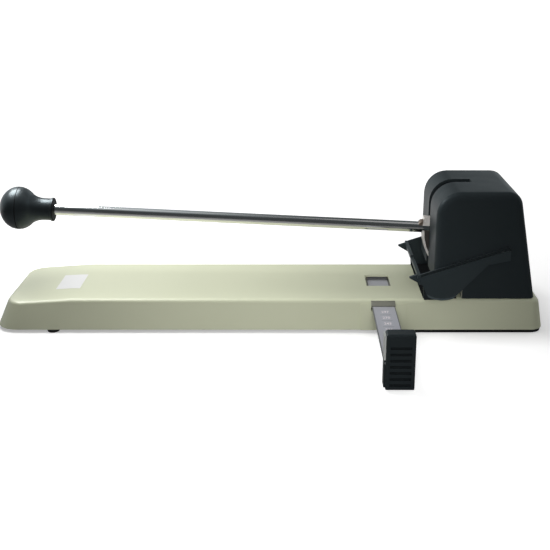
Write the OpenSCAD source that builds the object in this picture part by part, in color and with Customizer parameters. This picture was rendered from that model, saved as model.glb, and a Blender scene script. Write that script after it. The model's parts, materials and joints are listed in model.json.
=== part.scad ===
// Heavy duty two-hole paper punch with a long lever.
// Millimetres. The origin lies on the table, midway between the two punches.
// The lever points to -X, the rear is +X, the guide comes out at -Y and Z is up.

/* [Base] */
// Reach of the base in front of the punch line, at its lower edge
base_front = 405.5; // [345:0.5:450]
// From the foot of the head to the rear lower edge of the base
rear_ledge = 8.8; // [7.5:0.1:14]
// From a punch axis to the side lower edge of the base
side_margin = 16; // [15:0.5:24]
// Height of the base top above the table
base_h = 30; // [27:0.5:36]
// Height of the feet and of the bottom plate
foot_h = 3; // [2.5:0.1:4]
// Wall of the base cover
base_wall = 2.5; // [2:0.1:3]
// Draft of the long sides, in degrees
side_draft = 9.5; // [6:0.5:11]
// Slope of the front end, in degrees
nose_slope = 18.5; // [12:0.5:25]
// Plan radius of the two front corners
nose_r = 18; // [12:1:30]
// How far the top falls towards the front end
nose_dip = 3; // [1:0.5:4]
// Length over which the top falls
nose_dip_len = 60; // [40:5:90]
// Plan radius of the two rear corners
rear_r = 8; // [6:0.5:10]
// Radius of the top edge
edge_r = 4; // [3:0.25:4.5]

/* [Head] */
// From the punch line forward to the front of the head
head_front = 13.3; // [12.8:0.1:18]
// From the punch line back to the foot of the head
head_rear = 76.8; // [74:0.1:90]
// Height of the head above the base
head_h = 96.1; // [91:0.1:110]
// Wall of the head cover
head_wall = 2.5; // [2:0.1:3]
// Lean of the rear face, in degrees
rear_lean = 10.2; // [5:0.2:12]
// Narrowing of each side from foot to top
head_taper = 2.1; // [1:0.1:2.5]
// Radius of the front top edge
head_front_r = 21; // [16:1:24]
// Radius of the rear top edge
head_rear_r = 13; // [9:0.5:15]
// Radius of the side edges
head_edge_r = 6; // [4.5:0.25:7]
// Width of the lever slot
slot_w = 11.5; // [11:0.25:14]
// From the punch line back to the end of the slot
slot_end = 22.7; // [21.5:0.1:27]

/* [Throat] */
// Room for the stack of paper
throat_h = 16.7; // [15:0.1:18]
// From a hole's centre to the edge of the sheet
throat_depth = 12; // [11.5:0.1:13]
// Spacing of the two holes
hole_spacing = 80; // [76:1:90]
// Diameter of a punch
punch_d = 6; // [5.5:0.1:6.5]
// Thickness of the bed plate
bed_t = 6; // [5:0.25:7]
// Thickness of the punch guide plate
guide_plate_t = 6; // [5:0.25:6.5]

/* [Lever] */
// From the punch line back to the lever shaft
pivot_x = 29.6; // [29:0.1:31]
// Height of the lever shaft above the throat
pivot_up = 33; // [32:0.5:36]
// Swing of the lever, in degrees
lever_swing = 64; // [55:1:65]
// Rise of the lever towards the knob when it is down, in degrees
lever_tilt = 2.8; // [1:0.1:4]
// From the shaft to the centre of the knob
lever_len = 419; // [360:1:470]
// Diameter of the rod
rod_d = 10; // [9:0.25:11]
// Diameter of the ball knob
knob_d = 39; // [36:1:46]
// Length of the neck of the knob behind the ball
knob_neck = 15; // [12:0.5:20]
// Diameter of the neck of the knob
knob_neck_d = 20; // [17:0.5:22]
// Thickness of the hub plate
hub_t = 9; // [8:0.25:9.5]
// How far the hub stands out of the front of the head
hub_show = 6.4; // [5:0.1:7]
// Diameter of the lever shaft
shaft_d = 12; // [10:0.5:12.5]

/* [Gear] */
// Module of the teeth
gear_module = 2; // [1.9:0.05:2.05]
// Teeth of the full circle of a pinion
gear_teeth = 18; // [17:1:18]
// Face width of a rack
rack_w = 7; // [6:0.5:8]

/* [Guard] */
// Thickness of the arms
guard_t = 3; // [2.5:0.1:4]
// Diameter of the pins of the guard
guard_pin_d = 6; // [5:0.25:7]
// From the punch line back to the pins of the guard
guard_pin_x = 46; // [42:0.5:47]
// Height of the pins of the guard above the base
guard_pin_up = 42; // [41:0.5:43]
// Reach of the pointers in front of the guard
pointer_len = 8; // [5:0.5:11]

/* [Paper guide] */
// From the punch line forward to the middle of the guide bar
guide_x = 58; // [54:0.5:80]
// Width of the guide bar
bar_w = 20.4; // [16:0.2:24]
// Thickness of the guide bar
bar_t = 2; // [1.5:0.1:2.5]
// Depth of the bar below the base top
bar_drop = 5; // [4.5:0.1:6]
// From the middle of the base to the inner face of the stop
stop_at = 165.5; // [140:0.5:190]
// Reach of the bar past the middle of the base
bar_past = 30; // [26:1:40]
// Width of the ribbed stop
stop_w = 23; // [21:0.5:28]
// From the middle of the bar back to the middle of the stop
stop_shift = 2.4; // [0:0.2:4]
// Depth of the ribbed stop
stop_t = 12.5; // [10:0.5:16]
// Height of the ribbed stop
stop_h = 46.5; // [40:0.5:52]
// Number of grooves in the stop
groove_count = 7; // [5:1:8]

/* [Chip tray] */
// Height of the tray's walls
tray_h = 16.5; // [12:0.5:17]
// Wall of the tray
tray_wall = 1.6; // [1.2:0.1:2]

/* [Hidden] */
$fn = 64;
hull_fn = 32;
far_cut = 200;
fit = 0.02;
run = 0.05;
slide_gap = 0.2;
paint = [0.80, 0.80, 0.73];
black = [0.13, 0.15, 0.16];
dark_steel = [0.2, 0.21, 0.22];
steel = [0.68, 0.69, 0.71];
bright = [0.86, 0.87, 0.89];
bronze = [0.72, 0.55, 0.32];
rubber = [0.09, 0.09, 0.09];

// Base outline
base_rear = head_rear + rear_ledge;
base_hw = hole_spacing / 2 + side_margin;
wall_h = base_h - foot_h;
top_hw = base_hw - wall_h * tan(side_draft);
rear_draft = 8;
top_rear = base_rear - wall_h * tan(rear_draft);
top_front = base_front - wall_h * tan(nose_slope);
foot_rear_r = rear_r + 4;
foot_nose_r = nose_r + 2;
inner_top = base_h - base_wall;

// Bed
bed_proud = 0.3;
bed_top = base_h + bed_proud;
bed_under = bed_top - bed_t;
bed_hw = top_hw - edge_r;
bed_front = 22.3;
bed_rear = top_rear - edge_r - 2;
rail_w = 5.5;
rail_out = bed_hw - 0.5;
rail_in = rail_out - rail_w;
bed_gap = 0.1;
plate_front = 36;
plate_in = 1;

// Throat and frame
throat_top = bed_top + throat_h;
plate_top = throat_top + guide_plate_t;
head_hw = top_hw - 2;
head_top = base_h + head_h;
stop_plate_t = 2;
block_front = throat_depth + stop_plate_t;
block_rear = 60;
block_hw = hole_spacing / 2 - 2;
plate_hw = head_hw - head_wall - 1.5;
die_d = punch_d + 4;
bush_d = punch_d + 4;

// Lever and gear
pivot_z = throat_top + pivot_up;
pitch_r = gear_module * gear_teeth / 2;
tip_r = pitch_r + gear_module;
root_r = pitch_r - 1.25 * gear_module;
pressure = 20;
base_circle = pitch_r * cos(pressure);
pitch = PI * gear_module;
backlash = 0.24;
tooth_w = pitch / 2 - backlash / 2;
stroke = pitch_r * lever_swing * PI / 180;
hub_r = pivot_x + head_front + hub_show;
boss_r = root_r - 0.4;
hub_bush_d = shaft_d + 4;
gear_in = hub_t / 2;
gear_out = gear_in + 1 + rack_w;
washer_t = 1.8;
cheek_in = gear_out + washer_t + 0.2;
cheek_t = 6;
cheek_out = cheek_in + cheek_t;
bracket_floor = 4;
bracket_front = pivot_x - 15;
ring_t = 1;
shaft_half = cheek_out + 3;
rod_start = hub_r - 16;
spigot_d = 6;
spigot_len = 11;
rod_short = 6;

// Punch carriage at the bottom of its stroke
carriage_low = plate_top + 0.5;
carriage_h = 12.5;
carriage_top = carriage_low + carriage_h;
carriage_front = 8;
carriage_hw = head_hw - head_wall - 2.2;
rack_pitch_x = pivot_x - pitch_r;
rack_root_x = rack_pitch_x - 1.25 * gear_module;
rack_back_x = rack_root_x - 6;
rack_in = gear_in + 1;
rack_out = rack_in + rack_w;
rack_top = pivot_z + 8;
hub_gap = 0.8;
bridge_top = carriage_top - 4;
punch_tip = throat_top + 0.2 - stroke;
punch_head_d = punch_d + 3;
punch_head_h = 3;
keeper_t = 2.5;
keeper_bite = 6;
post_d = 8;
post_x = 0.5;
post_y = (rack_out + hole_spacing / 2) / 2;
post_top = carriage_top + stroke + 6;

// Guard
guard_in = head_hw + 0.7;
guard_out = guard_in + guard_t;
guard_pin_z = base_h + guard_pin_up;
pin_boss_d = guard_pin_d + 7;
pin_boss_h = 5;
lobe = [-6, base_h + 27];
lobe_r = 27.2;
bar_x = -27;
bar_half = 1.4;
bar_low = base_h + 19.8;
bar_high = base_h + 23;
pointer_t = 3;

// Paper guide
bar_top = base_h - bar_drop;
bar_low_z = bar_top - bar_t;
notch_w = bar_w + 1.1;
channel_wall = 2;
channel_floor = 2.5;
channel_half = 44;
channel_low = bar_low_z - slide_gap - channel_floor;
stop_low = 2;
stop_in_t = 1.2;
stop_face = 4;
stop_x = -guide_x + stop_shift;
lip_w = 1.3;
window_w = 22.5;
window_half = 15;
slot_screw_d = 3;
slot_screw_y = 20;
guide_out = 15;
wall_boss = 1;

// Chip tray
tray_gap = 0.3;
tray_front = 18;
tray_hw = rail_in - tray_gap;
tray_low = foot_h + tray_gap;
tray_top = tray_low + tray_h;
panel_t = 2.5;

// Screws
foot_x = -355;
foot_y = base_hw - 14;
foot_d = 13;
pan_screw_x = -150;
pan_t = 1.8;
pan_rear = 30;
screw_d = 3;
bolt_d = 5;
// Heads of the flat screws, the room round them and round their shanks, and how deep they lie and bite
screw_head_d = 6;
screw_head_h = 1.4;
head_room = 0.6;
shank_room = 0.4;
head_sink = 0.4;
sunk_h = 2;
seat_t = 1.2;
screw_bite = 9;
bed_bite = 8;
// Small cap screws of the carriage, and cap screws of the frame
small_head_d = 5.2;
small_head_h = 2.2;
cap_d = 8;
cap_h = 4;
// Moulded posts that the screws hold in
screw_post_d = 9;

// Helpers

// Extrudes an X-Z outline along Y, from y0 to y1
module side_slab(y0, y1) {
    translate([0, y1, 0]) rotate([90, 0, 0]) linear_extrude(y1 - y0) children();
}

// A box between two corners
module block(low, high) {
    translate(low) cube(high - low);
}

// Repeats a piece on both sides of the middle plane
module both_sides() {
    children();
    mirror([0, 1, 0]) children();
}

// A pin along Y at (x, z), from y0 to y1
module cross_pin(x, z, d, y0, y1) {
    translate([x, y0, z]) rotate([-90, 0, 0]) cylinder(d = d, h = y1 - y0);
}

// An upright pin at (x, y), from z0 to z1
module upright(x, y, d, z0, z1) {
    translate([x, y, z0]) cylinder(d = d, h = z1 - z0);
}

// A ring with a round rim, flat on its axis
module soft_disc(r, rim) {
    if (r > rim + 0.01) rotate_extrude($fn = hull_fn) union() {
        translate([r - rim, 0]) circle(rim, $fn = 16);
        translate([0, -rim]) square([r - rim, 2 * rim]);
    }
    else sphere(rim, $fn = 24);
}

// Rectangle between two corners, with all its corners rounded
module soft_rect(low, high, r) {
    translate([low[0] + r, low[1]]) square([high[0] - low[0] - 2 * r, high[1] - low[1]]);
    translate([low[0], low[1] + r]) square([high[0] - low[0], high[1] - low[1] - 2 * r]);
    for (x = [low[0] + r, high[0] - r], y = [low[1] + r, high[1] - r]) translate([x, y]) circle(r);
}

// Rectangle with rounded corners at its high-X end
module rear_rounded(x0, x1, half, r) {
    translate([x0, -half]) square([x1 - r - x0, 2 * half]);
    translate([x0, -half + r]) square([x1 - x0, 2 * half - 2 * r]);
    for (s = [-1, 1]) translate([x1 - r, s * (half - r)]) circle(r);
}

// Base

// The body of the base, drawn in by an amount all round
module base_form(inset, low) {
    rim = max(edge_r - inset, 0.8);
    hull() {
        for (s = [-1, 1]) {
            translate([top_rear - rear_r, s * (top_hw - rear_r), base_h - inset - rim])
                soft_disc(rear_r - inset, rim);
            translate([-top_front + nose_dip_len, s * (top_hw - rear_r), base_h - inset - rim])
                soft_disc(rear_r - inset, rim);
            translate([-top_front + nose_r, s * (top_hw - nose_r), base_h - nose_dip - inset - rim])
                soft_disc(nose_r - inset, rim);
            translate([base_rear - foot_rear_r, s * (base_hw - foot_rear_r), low])
                cylinder(r = foot_rear_r - inset, h = 0.1, $fn = hull_fn);
            translate([-base_front + foot_nose_r, s * (base_hw - foot_nose_r), low])
                cylinder(r = foot_nose_r - inset, h = 0.1, $fn = hull_fn);
        }
    }
}

// Shallow raised field on both long walls, round the guide notches
module wall_fields() {
    field_half = 22;
    both_sides() intersection() {
        translate([-guide_x, 0, foot_h]) linear_extrude(wall_h - edge_r) polygon([
            [-field_half, 0], [-field_half + 2, base_hw + wall_boss],
            [field_half - 2, base_hw + wall_boss], [field_half, 0]
        ]);
        translate([-guide_x - field_half, 0, 0]) rotate([90, 0, 90]) linear_extrude(2 * field_half)
            polygon([
                [base_hw - 8, foot_h], [base_hw + wall_boss, foot_h],
                [top_hw + wall_boss + edge_r * tan(side_draft), base_h - edge_r],
                [top_hw - 6, base_h - edge_r]
            ]);
    }
}

// Places of the four screw posts in the base cover
pan_posts = [for (x = [foot_x, pan_screw_x], s = [-1, 1]) [x, s * foot_y]];

module base_cover() {
    color(paint) difference() {
        union() {
            difference() {
                union() {
                    base_form(0, foot_h);
                    wall_fields();
                }
                base_form(base_wall, foot_h - 1);
            }
            intersection() {
                for (p = pan_posts) upright(p[0], p[1], screw_post_d, foot_h + pan_t, base_h);
                base_form(base_wall / 2, foot_h);
            }
        }
        for (p = pan_posts)
            upright(p[0], p[1], screw_d + 2 * fit, foot_h, foot_h + pan_t + screw_bite + 1);
        // Window over the guide bar
        block([-guide_x - window_w / 2 - 1, -window_half, inner_top - 2],
              [-guide_x + window_w / 2 - 1, window_half, base_h + 1]);
        // Notches for the guide bar in both long walls
        block(
            [-guide_x - notch_w / 2, -base_hw - 5, channel_low],
            [-guide_x + notch_w / 2, base_hw + 5, base_h - 1.5]
        );
        // Opening for the bed plate
        block(
            [-bed_front - bed_gap, -bed_hw - bed_gap, base_h - 8],
            [bed_rear + bed_gap, bed_hw + bed_gap, base_h + 1]
        );
        // Opening for the chip tray
        block(
            [bed_rear, -tray_hw - 2 * tray_gap, 0],
            [base_rear + 5, tray_hw + 2 * tray_gap, tray_top + 2 * tray_gap]
        );
    }
}

module front_pan() {
    pan_r = foot_nose_r - 8;
    pan_front = base_front - 8;
    pan_hw = base_hw - base_wall - 2;
    color(dark_steel) difference() {
        translate([0, 0, foot_h]) linear_extrude(pan_t) mirror([1, 0])
            rear_rounded(pan_rear, pan_front, pan_hw, pan_r);
        for (p = pan_posts) upright(p[0], p[1], screw_d + shank_room, 0, base_h);
    }
}

// Rubber left between the head of a foot's screw and the pan
foot_floor = 1;

module front_feet() {
    lip = 0.8;
    bore_r = (screw_d + shank_room) / 2;
    recess_r = screw_head_d / 2 + head_room;
    color(rubber) both_sides() translate([foot_x, foot_y, 0]) rotate_extrude() polygon([
        [bore_r, foot_h], [foot_d / 2, foot_h], [foot_d / 2, lip], [foot_d / 2 - lip, 0],
        [recess_r, 0], [recess_r, foot_h - foot_floor], [bore_r, foot_h - foot_floor]
    ]);
}

// Pan screws: two through the feet and two straight through the pan
module pan_screws() {
    color(steel) for (p = pan_posts) {
        seat = p[0] == foot_x ? foot_h - foot_floor : foot_h;
        upright(p[0], p[1], screw_head_d, seat - screw_head_h, seat);
        upright(p[0], p[1], screw_d, seat - 0.01, foot_h + pan_t + screw_bite);
    }
}

// Places of the four screws that hold the rails on the bottom plate
rail_posts = [for (x = [0, 50], s = [-1, 1]) [x, s * (rail_in + rail_out) / 2]];

module bottom_plate() {
    color(black) difference() {
        linear_extrude(foot_h)
            rear_rounded(-plate_front, base_rear - plate_in, base_hw - plate_in, foot_rear_r - plate_in);
        for (p = rail_posts) {
            upright(p[0], p[1], screw_d + shank_room, -1, foot_h + 1);
            upright(p[0], p[1], screw_head_d + head_room, -1, foot_h - seat_t);
        }
    }
}

module plate_screws() {
    color(steel) for (p = rail_posts) {
        upright(p[0], p[1], screw_head_d, head_sink, foot_h - seat_t);
        upright(p[0], p[1], screw_d, foot_h - seat_t - 0.01, foot_h + screw_bite);
    }
}

module bed_rails() {
    color(dark_steel) both_sides() difference() {
        block([-bed_front + 2, rail_in, foot_h], [bed_rear - 2, rail_out, bed_under]);
        for (p = rail_posts) upright(p[0], abs(p[1]), screw_d + 2 * fit, 0, foot_h + screw_bite + 1);
        for (p = bed_posts) upright(p[0], abs(p[1]), screw_d + 2 * fit, bed_under - bed_bite - 1, bed_top);
    }
}

// Places of the screws that hold the bed on its rails
bed_posts = [for (x = [20, 58], s = [-1, 1]) [x, s * (rail_in + rail_out) / 2]];
// Places of the screws that hold the head cover on the bed
cover_posts = [for (s = [-1, 1]) [bed_rear - 7, s * (block_hw - 4)]];
// Places of the bolts that hold the frame on the bed
bracket_bolts = [for (x = [block_rear - 14, block_rear - 5], s = [-1, 1]) [x, s * gear_in * 2]];
plate_bolts = [for (s = [-1, 1]) [block_front + 10, s * (block_hw - 8)]];

module bed_plate() {
    color(black) difference() {
        block([-bed_front, -bed_hw, bed_under], [bed_rear, bed_hw, bed_top]);
        both_sides() upright(0, hole_spacing / 2, die_d + 2 * fit, 0, far_cut);
        for (p = bed_posts) {
            upright(p[0], p[1], screw_d + shank_room, 0, far_cut);
            upright(p[0], p[1], screw_head_d + head_room, bed_top - sunk_h, far_cut);
        }
        for (p = cover_posts) upright(p[0], p[1], screw_d + shank_room, 0, far_cut);
        for (p = concat(bracket_bolts, plate_bolts))
            upright(p[0], p[1], bolt_d + 2 * fit, bed_under + 1, far_cut);
    }
}

module bed_screws() {
    color(steel) for (p = bed_posts) {
        upright(p[0], p[1], screw_head_d, bed_top - sunk_h, bed_top - head_sink);
        upright(p[0], p[1], screw_d, bed_under - bed_bite, bed_top - sunk_h + 0.01);
    }
}

// Hardened dies: a straight land above a wider relief for the chips
module die_bushes() {
    land = 2.5;
    relief = 1.4;
    color(steel) both_sides() difference() {
        upright(0, hole_spacing / 2, die_d, bed_under, bed_top);
        upright(0, hole_spacing / 2, punch_d + 2 * run, 0, far_cut);
        upright(0, hole_spacing / 2, punch_d + relief, 0, bed_top - land);
    }
}

// Frame

module pedestal() {
    chamfer = 2;
    bore_d = 9;
    color(dark_steel) difference() {
        side_slab(-block_hw, block_hw) polygon([
            [block_front, bed_top], [block_rear, bed_top], [block_rear, throat_top - chamfer],
            [block_rear - chamfer, throat_top], [block_front, throat_top]
        ]);
        for (p = concat(bracket_bolts, plate_bolts)) upright(p[0], p[1], bolt_d + shank_room, 0, far_cut);
        // Lightening bores from the rear
        both_sides() translate([block_front + 16, block_hw / 2 + 1, (bed_top + throat_top) / 2])
            rotate([0, 90, 0]) cylinder(d = bore_d, h = far_cut);
    }
}

module back_stop() {
    color(steel)
        block([throat_depth, -plate_hw, bed_top], [throat_depth + stop_plate_t, plate_hw, throat_top]);
}

module guide_plate() {
    front = head_front - head_wall - 0.4;
    color(steel) difference() {
        translate([0, 0, throat_top]) linear_extrude(guide_plate_t) polygon([
            [-front + head_edge_r, -plate_hw], [block_rear - 1, -plate_hw], [block_rear - 1, plate_hw],
            [-front + head_edge_r, plate_hw], [-front, plate_hw - head_edge_r],
            [-front, -plate_hw + head_edge_r]
        ]);
        // Room for the nose of the hub
        block([-far_cut, -hub_t / 2 - hub_gap, 0], [-0.5, hub_t / 2 + hub_gap, far_cut]);
        both_sides() {
            upright(0, hole_spacing / 2, bush_d + 2 * fit, 0, far_cut);
            upright(post_x, post_y, post_d + 2 * fit, 0, far_cut);
        }
        for (p = concat(bracket_bolts, plate_bolts)) upright(p[0], p[1], bolt_d + shank_room, 0, far_cut);
    }
}

module punch_bushes() {
    color(bronze) both_sides() difference() {
        upright(0, hole_spacing / 2, bush_d, throat_top, plate_top);
        upright(0, hole_spacing / 2, punch_d + 2 * run, 0, far_cut);
    }
}

module guide_posts() {
    chamfer = 1;
    color(bright) both_sides() translate([post_x, post_y, 0]) rotate_extrude() polygon([
        [0, throat_top], [post_d / 2, throat_top], [post_d / 2, post_top - chamfer],
        [post_d / 2 - chamfer, post_top], [0, post_top]
    ]);
}

// U-shaped bracket with two cheeks that carry the lever shaft
module lever_bracket() {
    cheek_r = 13;
    floor_top = plate_top + bracket_floor;
    color(dark_steel) difference() {
        union() {
            block([bracket_front, -cheek_out, plate_top], [block_rear - 1, cheek_out, floor_top]);
            both_sides() side_slab(cheek_in, cheek_out) {
                translate([pivot_x, pivot_z]) circle(cheek_r);
                polygon([
                    [bracket_front, plate_top], [block_rear - 1, plate_top], [block_rear - 1, floor_top + 4],
                    [pivot_x + cheek_r * cos(40), pivot_z + cheek_r * sin(40)], [pivot_x - cheek_r, pivot_z],
                    [bracket_front, floor_top]
                ]);
            }
        }
        cross_pin(pivot_x, pivot_z, shaft_d + 2 * fit, -far_cut, far_cut);
        for (p = bracket_bolts) upright(p[0], p[1], bolt_d + shank_room, 0, far_cut);
    }
}

// Cap screws that clamp bracket, guide plate and pedestal on the bed
module frame_bolts() {
    bracket_seat = plate_top + bracket_floor;
    color(steel) {
        for (p = bracket_bolts) {
            upright(p[0], p[1], cap_d, bracket_seat, bracket_seat + cap_h);
            upright(p[0], p[1], bolt_d, bed_under + 1.5, bracket_seat + 0.01);
        }
        for (p = plate_bolts) {
            upright(p[0], p[1], cap_d, plate_top, plate_top + cap_h);
            upright(p[0], p[1], bolt_d, bed_under + 1.5, plate_top + 0.01);
        }
    }
}

ring_y = cheek_out + 0.1;
ring_groove_d = shaft_d - 1.6;

module lever_shaft() {
    color(bright) difference() {
        cross_pin(pivot_x, pivot_z, shaft_d, -shaft_half, shaft_half);
        both_sides() difference() {
            cross_pin(pivot_x, pivot_z, shaft_d + 1, ring_y, ring_y + ring_t);
            cross_pin(pivot_x, pivot_z, ring_groove_d, ring_y - 1, ring_y + ring_t + 1);
        }
    }
}

// Open rings that snap into the grooves of the shaft
module retaining_rings() {
    mouth = 2.5;
    color(dark_steel) both_sides() difference() {
        cross_pin(pivot_x, pivot_z, shaft_d + 5, ring_y + 0.05, ring_y + ring_t - 0.05);
        cross_pin(pivot_x, pivot_z, ring_groove_d + 2 * fit, 0, far_cut);
        block([pivot_x - mouth, 0, 0], [pivot_x + mouth, far_cut, pivot_z]);
    }
}

module thrust_washers() {
    color(bronze) both_sides() difference() {
        cross_pin(pivot_x, pivot_z, shaft_d + 10, gear_out + 0.1, cheek_in - 0.1);
        cross_pin(pivot_x, pivot_z, shaft_d + 2 * run, 0, far_cut);
    }
}

// Head cover

// Half width of the head at a height
function head_half(z) = head_hw - head_taper * (z - base_h) / head_h;

// Rear face of the head at a height
function head_rear_at(z) = head_rear - (z - base_h) * tan(rear_lean);

// The body of the head, drawn in by an amount all round
module head_form(inset) {
    rim = max(head_edge_r - inset, 0.8);
    low = base_h - 6;
    front_c = [-head_front + head_front_r, head_top - head_front_r];
    rear_z = head_top - head_rear_r;
    rear_c = [head_rear_at(rear_z) - head_rear_r / cos(rear_lean), rear_z];
    hull() for (s = [-1, 1]) {
        translate([front_c[0], s * (head_half(front_c[1]) - inset - rim), front_c[1]])
            rotate([90, 0, 0]) soft_disc(head_front_r - inset, rim);
        translate([rear_c[0], s * (head_half(rear_z) - inset - rim), rear_z])
            rotate([90, 0, 0]) soft_disc(head_rear_r - inset, rim);
        translate([-head_front + inset + rim, s * (head_half(low) - inset - rim), low])
            sphere(rim, $fn = 24);
        translate([head_rear_at(low) - inset - rim, s * (head_half(low) - inset - rim), low])
            sphere(rim, $fn = 24);
    }
}

module head_cover() {
    pin_wall = head_half(guard_pin_z);
    rib_half = 3;
    color(black) difference() {
        union() {
            difference() {
                head_form(0);
                head_form(head_wall);
            }
            // Posts for the cover screws and bosses for the guard pins
            intersection() {
                union() {
                    for (p = cover_posts) {
                        upright(p[0], p[1], screw_post_d, bed_top, throat_top - 1);
                        block([p[0], p[1] - rib_half, bed_top], [head_rear, p[1] + rib_half, throat_top - 1]);
                    }
                    both_sides()
                        cross_pin(guard_pin_x, guard_pin_z, pin_boss_d, pin_wall - pin_boss_h, pin_wall);
                }
                head_form(head_wall / 2);
            }
        }
        // Foot
        block([-far_cut, -far_cut, -1], [far_cut, far_cut, bed_top]);
        // Throat
        block([-far_cut, -far_cut, -1], [throat_depth, far_cut, throat_top]);
        // Lever slot
        block([-far_cut, -slot_w / 2, 0], [slot_end, slot_w / 2, far_cut]);
        for (p = cover_posts) upright(p[0], p[1], screw_d + 2 * fit, 0, throat_top - 4);
        cross_pin(guard_pin_x, guard_pin_z, guard_pin_d + 2 * fit, -far_cut, far_cut);
    }
}

module cover_screws() {
    color(steel) for (p = cover_posts) {
        upright(p[0], p[1], screw_head_d, bed_under - screw_head_h, bed_under);
        upright(p[0], p[1], screw_d, bed_under - 0.01, throat_top - 5);
    }
}

// Flanged pins, fixed in the head cover, on which the guard swings
module guard_pins() {
    flange_t = 2;
    inner = head_half(guard_pin_z) - pin_boss_h;
    color(steel) both_sides() {
        cross_pin(guard_pin_x, guard_pin_z, guard_pin_d, inner - 0.01, guard_out - 1.2);
        cross_pin(guard_pin_x, guard_pin_z, pin_boss_d - 2, inner - flange_t, inner);
    }
}

// Lever

// Moves to the lever's axis: local +Z runs from the shaft to the knob
module on_lever() {
    translate([pivot_x, 0, pivot_z]) rotate([0, lever_tilt - 90, 0]) children();
}

// Flat hub: a round boss and a sector with a round front, slotted for the rod.
// Behind its nose the lower edge is cut up, over the middle of the crosshead.
module hub_outline() {
    up = 13;
    down = 34.6;
    nose = [-3 - pivot_x, plate_top + 3 - pivot_z];
    over = bridge_top + 2 - pivot_z;
    circle(boss_r);
    intersection() {
        circle(hub_r, $fn = 160);
        polygon([
            [-6, boss_r - 7], hub_r * 1.2 * [-cos(up), sin(up)], hub_r * 1.2 * [-cos(down), -sin(down)],
            nose, [-1.5 - pivot_x, over], [-pitch_r, over + 2], [0, -boss_r + 1]
        ]);
    }
}

// Angles of the two dowels round the shaft, and the circle that they stand on
dowel_angles = [150, 330];
dowel_d = 4;
dowel_circle_r = (hub_bush_d / 2 + boss_r) / 2;

// A pin of the given diameter at the place of each dowel
module dowel_pins(d, half_len) {
    for (a = dowel_angles)
        cross_pin(
            pivot_x + dowel_circle_r * cos(a), pivot_z + dowel_circle_r * sin(a),
            d, -half_len, half_len
        );
}

module dowel_holes() {
    dowel_pins(dowel_d + 2 * fit, far_cut);
}

module lever_hub() {
    color(bright) difference() {
        translate([pivot_x, 0, pivot_z]) side_slab(-hub_t / 2, hub_t / 2) hub_outline();
        cross_pin(pivot_x, pivot_z, hub_bush_d + 2 * fit, -far_cut, far_cut);
        dowel_holes();
        on_lever() {
            translate([0, 0, rod_start - spigot_len - 0.5]) cylinder(d = spigot_d + 2 * fit, h = far_cut);
            translate([0, 0, rod_start]) cylinder(d = rod_d + 2 * fit, h = far_cut);
        }
    }
}

module lever_rod() {
    color(bright) on_lever() {
        translate([0, 0, rod_start]) cylinder(d = rod_d, h = lever_len - rod_short - rod_start);
        translate([0, 0, rod_start - spigot_len]) cylinder(d = spigot_d, h = spigot_len + 0.01);
    }
}

// Ball knob: a slightly flattened ball that runs in a hollow curve into a neck with a rim
module lever_knob() {
    ball = knob_d / 2;
    ball_len = ball * 0.875;
    neck = knob_neck_d / 2;
    neck_end = -ball_len - knob_neck;
    leave = -46;
    p0 = [ball * cos(leave), ball_len * sin(leave)];
    p1 = [neck, -ball_len * 0.98];
    p2 = [neck, -ball_len - knob_neck * 0.45];
    bore = rod_d / 2 + fit;
    color(rubber) on_lever() translate([0, 0, lever_len]) rotate_extrude() polygon(concat(
        [for (a = [90:-8:leave]) [max(ball * cos(a), 0), ball_len * sin(a)]],
        [for (t = [0:0.2:1]) p0 * (1 - t) * (1 - t) + p1 * 2 * t * (1 - t) + p2 * t * t],
        [[neck, neck_end + 2.5], [neck + 0.8, neck_end + 2],
         [neck + 0.8, neck_end + 0.6], [neck + 0.2, neck_end],
         [bore, neck_end], [bore, -rod_short], [0, -rod_short]]
    ));
}

module hub_bush() {
    color(bronze) difference() {
        cross_pin(pivot_x, pivot_z, hub_bush_d, -gear_out, gear_out);
        cross_pin(pivot_x, pivot_z, shaft_d + 2 * run, -far_cut, far_cut);
    }
}

function involute(a) = tan(a) * 180 / PI - a;

// Half angle of a tooth at radius r
function tooth_half(r) =
    tooth_w / 2 / pitch_r * 180 / PI + involute(pressure) - involute(acos(min(1, base_circle / r)));

flank_r = [for (k = [0:4]) base_circle + (tip_r - base_circle) * k / 4];

// One tooth that points to -X
module gear_tooth() {
    upper = [for (r = flank_r) r * [-cos(tooth_half(r)), sin(tooth_half(r))]];
    lower = [for (k = [4:-1:0]) [upper[k][0], -upper[k][1]]];
    foot = (root_r - 1) * [-cos(tooth_half(base_circle)), sin(tooth_half(base_circle))];
    polygon(concat([foot], upper, lower, [[foot[0], -foot[1]]]));
}

// Toothed sector: one tooth above the level of the shaft, the rest below
module pinion() {
    color(steel) difference() {
        translate([pivot_x, 0, pivot_z]) side_slab(gear_in, gear_out) {
            circle(root_r);
            for (k = [-1:5]) rotate(k * 360 / gear_teeth) gear_tooth();
        }
        cross_pin(pivot_x, pivot_z, hub_bush_d + 2 * fit, -far_cut, far_cut);
        dowel_holes();
    }
}

module pinion_near() { mirror([0, 1, 0]) pinion(); }
module pinion_far() { pinion(); }

module hub_dowels() {
    color(steel) dowel_pins(dowel_d, gear_out);
}

// Punch carriage

// Heights of the two screws in each rack, and their place across
rack_screw_z = carriage_low + carriage_h / 2;
rack_mid = (rack_in + rack_out) / 2;
rack_sink = small_head_h + 0.5;

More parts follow.
